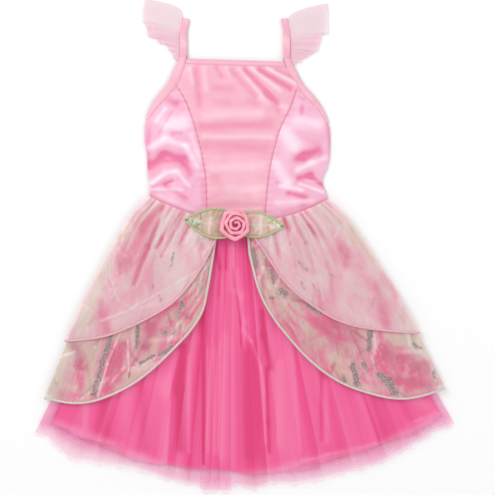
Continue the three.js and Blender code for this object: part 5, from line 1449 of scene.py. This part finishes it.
class DRESS_OT_bindings(Operator):
    """Binds the neck and the armholes, and sews the bindings and princess seams"""

    bl_idname = "dress.bindings"
    bl_label = "Bindings and sewing"

    def execute(self, context):
        spacing = context.scene.dress_sizes.stitch_spacing
        a, b = cells(90, 8)
        low_x, low_y = (mix(NECK_EDGE[0][k], NECK_EDGE[1][k], a) for k in (0, 1))
        high_x, high_y = (mix(NECK_BINDING_TOP[0][k], NECK_BINDING_TOP[1][k], a) for k in (0, 1))
        lines = [self.strip("neck_binding", mix(low_x, high_x, b), mix(low_y + SEAM_GAP, high_y, b), b,
                            (0.152, 0.0105))]
        a, b = cells(70, 8)
        for end in SIGN:
            y = mix(SHOULDER[end], UNDERARM[end], a)
            x = mix(ARMHOLE[end](y), SIDE[end](y), b)
            lines.append(self.strip(f"armhole_binding_{end}", x, y, b, (0.12, 0.0125))[4:-3])
        seams = []
        for end, sign in SIGN.items():
            y = np.linspace(SEAM_TOP[end] - 4, 6, 120)
            x = PRINCESS[end](y) - sign * 1.9
            seams.append(points_of(x, y, BODICE_PILE.under(x, y) + 0.12))
        for name, rows, length, radius in (("binding_stitches", lines, 0.002, 0.00018),
                                           ("princess_stitches", seams, 0.0019, 0.00016)):
            finished(sewn_stitches(name, rows, spacing, length, radius, finish("pink_thread")), "pink_thread")
        return {"FINISHED"}

    def strip(self, name, x, y, b, flat):
        """A binding: a folded strip, rounded across, with a dip where it is sewn down. Returns that line."""
        rise = 0.75 * oval(b) - 0.35 * bell(b - 0.14, 0.06)
        slow = 0.12 * np.sin(x / 7) + 0.1 * np.sin(y / 5)
        points = points_of(x, y, bodice_level(x, y) + 0.35 + rise + slow)
        # Painted highlight on the strip's rounded top, painted shade in its sewn dip, and painted light and shade
        # on the slow waves
        painted_shading_and_tone = 0.5 * (rise - 0.4) + 0.5 * slow
        finished(cloth(f"{name}_satin", points, finish("binding"), {"painted_shading_and_tone": painted_shading_and_tone}, thick=0.8), "binding", [name],
                 flat=flat, held="laid", rests_on=["bodice_centre_satin"], area=0.92 * flat[0] * flat[1])
        BODICE_PILE.add(points)
        return points[1] + (0, 0, 0.12)


# Straps and sleeves: each goes up its front half, round the shoulder fold and down its back half
def fold_over(front_steps, turn_steps, back_steps, back_top):
    """For each stop: its share of the way to the fold, how far past it, its lean, its height, and if in front."""
    stops = [(i / front_steps, 0.0, 0.0, back_top + 2 * FOLD_RADIUS, 1.0) for i in range(front_steps)]
    for i in range(turn_steps + 1):
        lean = math.pi * i / turn_steps
        stops.append((1.0, FOLD_RADIUS * math.sin(lean), lean,
                      back_top + FOLD_RADIUS * (1 + math.cos(lean)), 0.0))
    stops += [(1 - i / back_steps, 0.0, math.pi, back_top, 0.0) for i in range(1, back_steps + 1)]
    return np.array(stops).T


def strap_x(base_x, y):
    return base_x - np.sign(base_x) * STRAP["lean_in"] * ease(STRAP["lean_from"], STRAP["fold_y"], y)


class DRESS_OT_straps(Operator):
    """Makes the two shoulder straps, folded at the shoulder"""

    bl_idname = "dress.straps"
    bl_label = "Straps"

    def execute(self, context):
        for end in ("left", "right"):
            base, front = STRAP[end], SHOULDER[end] + SEAM_GAP
            share, past, lean, z, in_front = fold_over(50, 8, 50, 1.2)
            b = np.linspace(0, 1, 9)[:, None]
            start = np.where(np.isclose(lean, math.pi), BACK_NECK_Y + SEAM_GAP, front)
            y = mix(start, STRAP["fold_y"], share) + past + 0 * b
            x = strap_x(base, y) + (b - 0.5) * STRAP["width"]
            level = float(bodice_level(np.array(base), np.array(front))) + 0.6
            rise = 0.35 * oval(b) * np.cos(lean)
            height = np.where(in_front > 0, mix(level, z, share), z) + rise + 0.1 * np.sin(y / 6) * in_front
            points = points_of(x, y, height)
            # Painted light and shade on the small waves and across the strap's rounded top
            painted_shading_and_tone = 0.3 * np.sin(y / 6 + b) * in_front + 0.4 * (rise - 0.2)
            finished(cloth(f"strap_{end}_satin", points, finish("binding"), {"painted_shading_and_tone": painted_shading_and_tone}, thick=0.8), "binding",
                     [f"strap_{end}"], flat=(0.011, 0.148), held="folded",
                     rests_on=[f"armhole_binding_{end}_satin"])
        return {"FINISHED"}


class DRESS_OT_sleeves(Operator):
    """Makes the two gathered flutter sleeves, folded at the shoulder"""

    bl_idname = "dress.sleeves"
    bl_label = "Flutter sleeves"

    def execute(self, context):
        for end, side in SIGN.items():
            rows = np.array(SLEEVE_OUTLINES[end], float).T
            shares = np.linspace(0, 1, rows.shape[1])
            share, past, lean, z, in_front = fold_over(120, 6, 60, 1.0)
            b = np.linspace(0, 1, 41)[:, None]
            inner_y, outer_x, outer_y = (np.interp(share, shares, row) for row in rows)
            beside = side * strap_x(STRAP[end], inner_y + past) + STRAP["width"] / 2 + 2 * SEAM_GAP
            binding = np.where(inner_y < max(SHOULDER.values()), side * SIDE[end](inner_y) + 2 * SEAM_GAP, 0)
            start = side * np.maximum(beside, binding)
            reach = b ** 1.15 * np.where(lean > 0, mix(0.93, 1, ease(0.8, 1, share)), 1)
            rise = reach ** mix(1, SHOULDER_BULGE[end], share * share)
            x = mix(start, outer_x, reach)
            y = mix(inner_y, outer_y, rise) + past
            pleats = 8.5 if end == "left" else 10
            ripple = wave(pleats * share + 0.15 * b + 0.1 * np.sin(9 * share)) * in_front
            settle = ease(0, 0.08, share) * ease(0, 0.12, 1 - share)
            height = z + ripple * settle * mix(0.5, 2.0, b)
            points = points_of(x, y, np.maximum(0.15, height))
            single = ease(0.9, 0.62, share) * in_front
            # Painted shade and highlight on the ripples, paler where the organza lies double, and darker along
            # both edges
            painted_shading_and_tone = 0.35 * (ripple - 0.5) * in_front * (0.4 + 0.6 * b) + mix(0.85, -0.45, single)
            painted_shading_and_tone = painted_shading_and_tone - 0.5 * bell(b, 0.08) - 0.5 * bell(1 - b, 0.05)
            finished(cloth(f"sleeve_{end}_organza", points, finish("sleeve"), {"painted_shading_and_tone": painted_shading_and_tone}), "sleeve_organza",
                     [f"sleeve_{end}"], flat=(0.16, 0.095), held="gathered", rests_on=[f"strap_{end}_satin"],
                     area=0.0085)
        return {"FINISHED"}


# Flower
class DRESS_OT_leaves(Operator):
    """Makes the two sheer leaves and their green corded edges"""

    bl_idname = "dress.leaves"
    bl_label = "Leaves"

    def execute(self, context):
        width_at = through(LEAF_WIDTHS)
        for end in ("left", "right"):
            tip_x, tip_y, root_x, root_y, half = LEAF_AXES[end]
            axis = np.array([root_x - tip_x, root_y - tip_y])
            across = np.array([-axis[1], axis[0]]) / np.linalg.norm(axis)
            level = top_of(f"leaf_{end}", soften=2)

            def edge_point(along, sideways):
                reach = sideways * half * width_at(along)
                return tip_x + axis[0] * along + across[0] * reach, tip_y + axis[1] * along + across[1] * reach

            a, b = cells(70, 36)
            x, y = edge_point(a ** 1.3, 2 * b - 1)
            vein = bell(2 * b - 1, 0.09)
            small, crinkle_shading = crinkles(x, y, 41, 40, 16, 1.6, 0.22, 1.0)
            z = level(x, y) + 0.8 * (1 - (2 * b - 1) ** 2) - 0.35 * vein + small
            points = PILE.lay(BODICE_PILE.lay(points_of(x, y, z), gap=0.2), gap=0.2)
            mint = np.exp(-(((a - 0.22) / 0.22) ** 2 + ((b - 0.3) / 0.3) ** 2))
            streak = bell(a - 0.62, 0.03)
            lightness, pinkness, area = LEAF_CASTS[end]
            # Painted shading of the crinkles, then a lighter vein, a lighter band across and each leaf's own
            # lightness
            marks = {"painted_shading_and_tone": 0.55 * crinkle_shading + 0.15 * vein + 0.45 * streak + lightness,
                     "cream": 1.1 * mint - pinkness * (1 - mint)}
            finished(cloth(f"leaf_{end}_ribbon", points, finish("leaf"), marks), "leaf_organza", [f"leaf_{end}"],
                     flat=(0.042, 0.068), held="laid", rests_on=["bodice_centre_satin", "tulle_front_net"],
                     area=area)
            self.edge(end, edge_point, across, points)
        return {"FINISHED"}

    def edge(self, end, edge_point, across, points):
        """The cord: along one side to the tip and back along the other."""
        out = LEAF_CORD_END * np.linspace(1, 0, 60) ** 1.4
        along = np.concatenate([out, out[::-1][1:]])
        sides = np.concatenate([np.ones(60), -np.ones(59)])
        x, y = edge_point(along, sides)
        line = points_of(x, y, 0)
        beside = across * sides[:, None] * ease(0, 0.1, along)[:, None]
        line[:, :2] += 1.7 * beside
        flat = points.reshape(-1, 3)
        for p in line:
            p[2] = flat[np.argmin(np.hypot(flat[:, 0] - p[0], flat[:, 1] - p[1])), 2]
        line[:, 2] = blurred(line[:, 2], 2, axes=(0,)) + 0.9
        line[:, :2] = blurred(line[:, :2], 1, axes=(0,))
        material = finish("green_thread")
        finished(tube(f"leaf_edge_{end}_core", line, 2.7, 1.9, material), "green_thread", [f"leaf_edge_{end}"])
        strands = [line + np.pad(offset * beside, ((0, 0), (0, 1))) for offset in (-0.8, 0.8)]
        finished(wrapped_threads(f"leaf_edge_{end}_threads", strands, 1.6, 1.7, 0.0011, 0.0003, 0.5, material),
                 "green_thread")
        knot = line[59] + np.array([[-1.6, 0, -0.2], [-0.8, 0, 0.7], [0.8, 0, 0.7], [1.6, 0, -0.2]])
        finished(tube(f"leaf_edge_{end}_knot", knot, 3.4, 2.6, finish("knot")), "green_thread")
        PILE.add(line + (0, 0, 1.2))


class DRESS_OT_rose(Operator):
    """Winds the rose from satin ribbon, each turn's edge rolled outwards"""

    bl_idname = "dress.rose"
    bl_label = "Rose"

    def execute(self, context):
        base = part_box("rose")[0].z / MM
        s = np.linspace(0, 1, 421)[None, :]
        b = np.linspace(0, 1, 31)[:, None]
        turn = 2 * np.pi * ROSE["turns"] * s + 0.5
        # Each turn is creased into petals with soft corners
        petal = 2 * np.pi / ROSE["petals"]
        petals = mix(1.04, np.cos(petal / 2) / np.cos(np.mod(turn, petal) - petal / 2) * 1.16, 0.6)
        # The ribbon's outer end is tucked under the turn inside it
        tuck = ease(0, 0.09, s)
        foot = mix(ROSE["outer"], ROSE["inner"], s ** 0.94) - 3 * (1 - tuck)
        tall = mix(4.6, 9, ease(0, 1, s)) * mix(0.4, 1, tuck)
        climb = np.clip(b / 0.35, 0, 1)
        roll = np.clip((b - 0.35) / 0.65, 0, 1)
        lip = mix(6.5, 3.3, s) * mix(0.5, 1, tuck) * (1 - np.cos(math.pi * 0.96 * roll)) / 2
        uneven = 1 + 0.04 * np.sin(1.62 * turn + 1)
        r = (foot - 0.8 * (1 - climb) + lip) * petals * uneven
        z = base + tall * climb + mix(2.2, 1.1, s) * np.sin(math.pi * 0.96 * roll) - mix(2.6, 0.5, s) * roll ** 2
        points = points_of(ROSE["x"] + r * np.cos(turn), ROSE["y"] + r * np.sin(turn), z)
        # Painted shade low in each turn and past the rim's edge, painted highlight along the rolled rim, painted
        # light and shade round the petal folds, and painted shade towards the centre
        folded = 0.22 * np.cos(np.mod(turn, petal) / petal * 2 * np.pi + 0.8)
        painted_shading_and_tone = mix(-0.35, 0.4, ease(0.3, 0.56, b)) + 0.35 * bell(b - 0.88, 0.08) + folded
        painted_shading_and_tone = painted_shading_and_tone - 0.3 * ease(0.94, 1, b) - 0.3 * ease(0.8, 1, s)
        finished(cloth("rose_ribbon_wound", points, finish("rose"), {"painted_shading_and_tone": painted_shading_and_tone}, thick=0.5),
                 "rose_ribbon", ["rose"], flat=(0.016, 0.215), held="folded", area=0.0034,
                 rests_on=["leaf_left_ribbon", "leaf_right_ribbon"])
        return {"FINISHED"}


# Stage
class DRESS_OT_stage(Operator):
    """Sets the pale floor, the soft lights and a camera that looks straight down"""

    bl_idname = "dress.stage"
    bl_label = "Stage"

    def execute(self, context):
        scene = context.scene
        scene.view_settings.view_transform = "Standard"
        centre_x = (VIEW_MIDDLE[0] + SHIFT_X) * MM
        centre_y = (VIEW_MIDDLE[1] + SHIFT_Y) * MM
        mesh = bpy.data.meshes.new("floor")
        corners = [(i * FLOOR_HALF, j * FLOOR_HALF, FLOOR_Z) for i, j in ((-1, -1), (1, -1), (1, 1), (-1, 1))]
        mesh.from_pydata(corners, [], [(0, 1, 2, 3)])
        mesh.materials.append(finish("floor"))
        linked("floor", mesh)
        camera = bpy.data.cameras.new("camera")
        camera.lens = scene.dress_sizes.camera_lens
        camera.sensor_width = 36
        distance = VIEW_WIDTH * MM * camera.lens / camera.sensor_width
        scene.camera = linked("camera", camera)
        scene.camera.location = (centre_x, centre_y, distance + 0.012)
        scene.world = bpy.data.worlds.new("soft studio")
        scene.world.use_nodes = True
        background = scene.world.node_tree.nodes["Background"]
        background.inputs["Color"].default_value = (1, 1, 1, 1)
        background.inputs["Strength"].default_value = WORLD_LIGHT
        for name, (place, size, power) in LIGHTS.items():
            light = bpy.data.lights.new(name, "AREA")
            light.size = size
            light.energy = power
            lamp = linked(name, light)
            lamp.location = place
            lamp.rotation_euler = (-Vector(place)).to_track_quat("-Z", "Y").to_euler()
        return {"FINISHED"}


class DRESS_PT_panel(Panel):
    """The dress's sizes, colours and pieces"""

    bl_idname = "DRESS_PT_panel"
    bl_label = "Princess costume dress"
    bl_space_type = "VIEW_3D"
    bl_region_type = "UI"
    bl_category = "Dress"

    def draw(self, context):
        for group in (context.scene.dress_sizes, context.scene.dress_colours):
            box = self.layout.box()
            for name in group.bl_rna.properties.keys():
                if name not in ("name", "rna_type"):
                    box.prop(group, name)
        for operator in STEPS:
            self.layout.operator(operator.bl_idname)


STEPS = (
    DRESS_OT_skirt_backs, DRESS_OT_lining, DRESS_OT_tulle, DRESS_OT_overskirts, DRESS_OT_bodice,
    DRESS_OT_bindings, DRESS_OT_straps, DRESS_OT_sleeves, DRESS_OT_leaves, DRESS_OT_rose, DRESS_OT_stage,
)
CLASSES = (DressSizes, DressColours, *STEPS, DRESS_PT_panel)


def register():
    for made in CLASSES:
        bpy.utils.register_class(made)
    bpy.types.Scene.dress_sizes = PointerProperty(type=DressSizes)
    bpy.types.Scene.dress_colours = PointerProperty(type=DressColours)


def unregister():
    del bpy.types.Scene.dress_sizes
    del bpy.types.Scene.dress_colours
    for made in reversed(CLASSES):
        bpy.utils.unregister_class(made)


def main():
    register()
    bpy.ops.dress.skirt_backs()
    bpy.ops.dress.lining()
    bpy.ops.dress.tulle()
    bpy.ops.dress.overskirts()
    bpy.ops.dress.bodice()
    bpy.ops.dress.bindings()
    bpy.ops.dress.straps()
    bpy.ops.dress.sleeves()
    bpy.ops.dress.leaves()
    bpy.ops.dress.rose()
    bpy.ops.dress.stage()


if __name__ == "__main__":
    main()
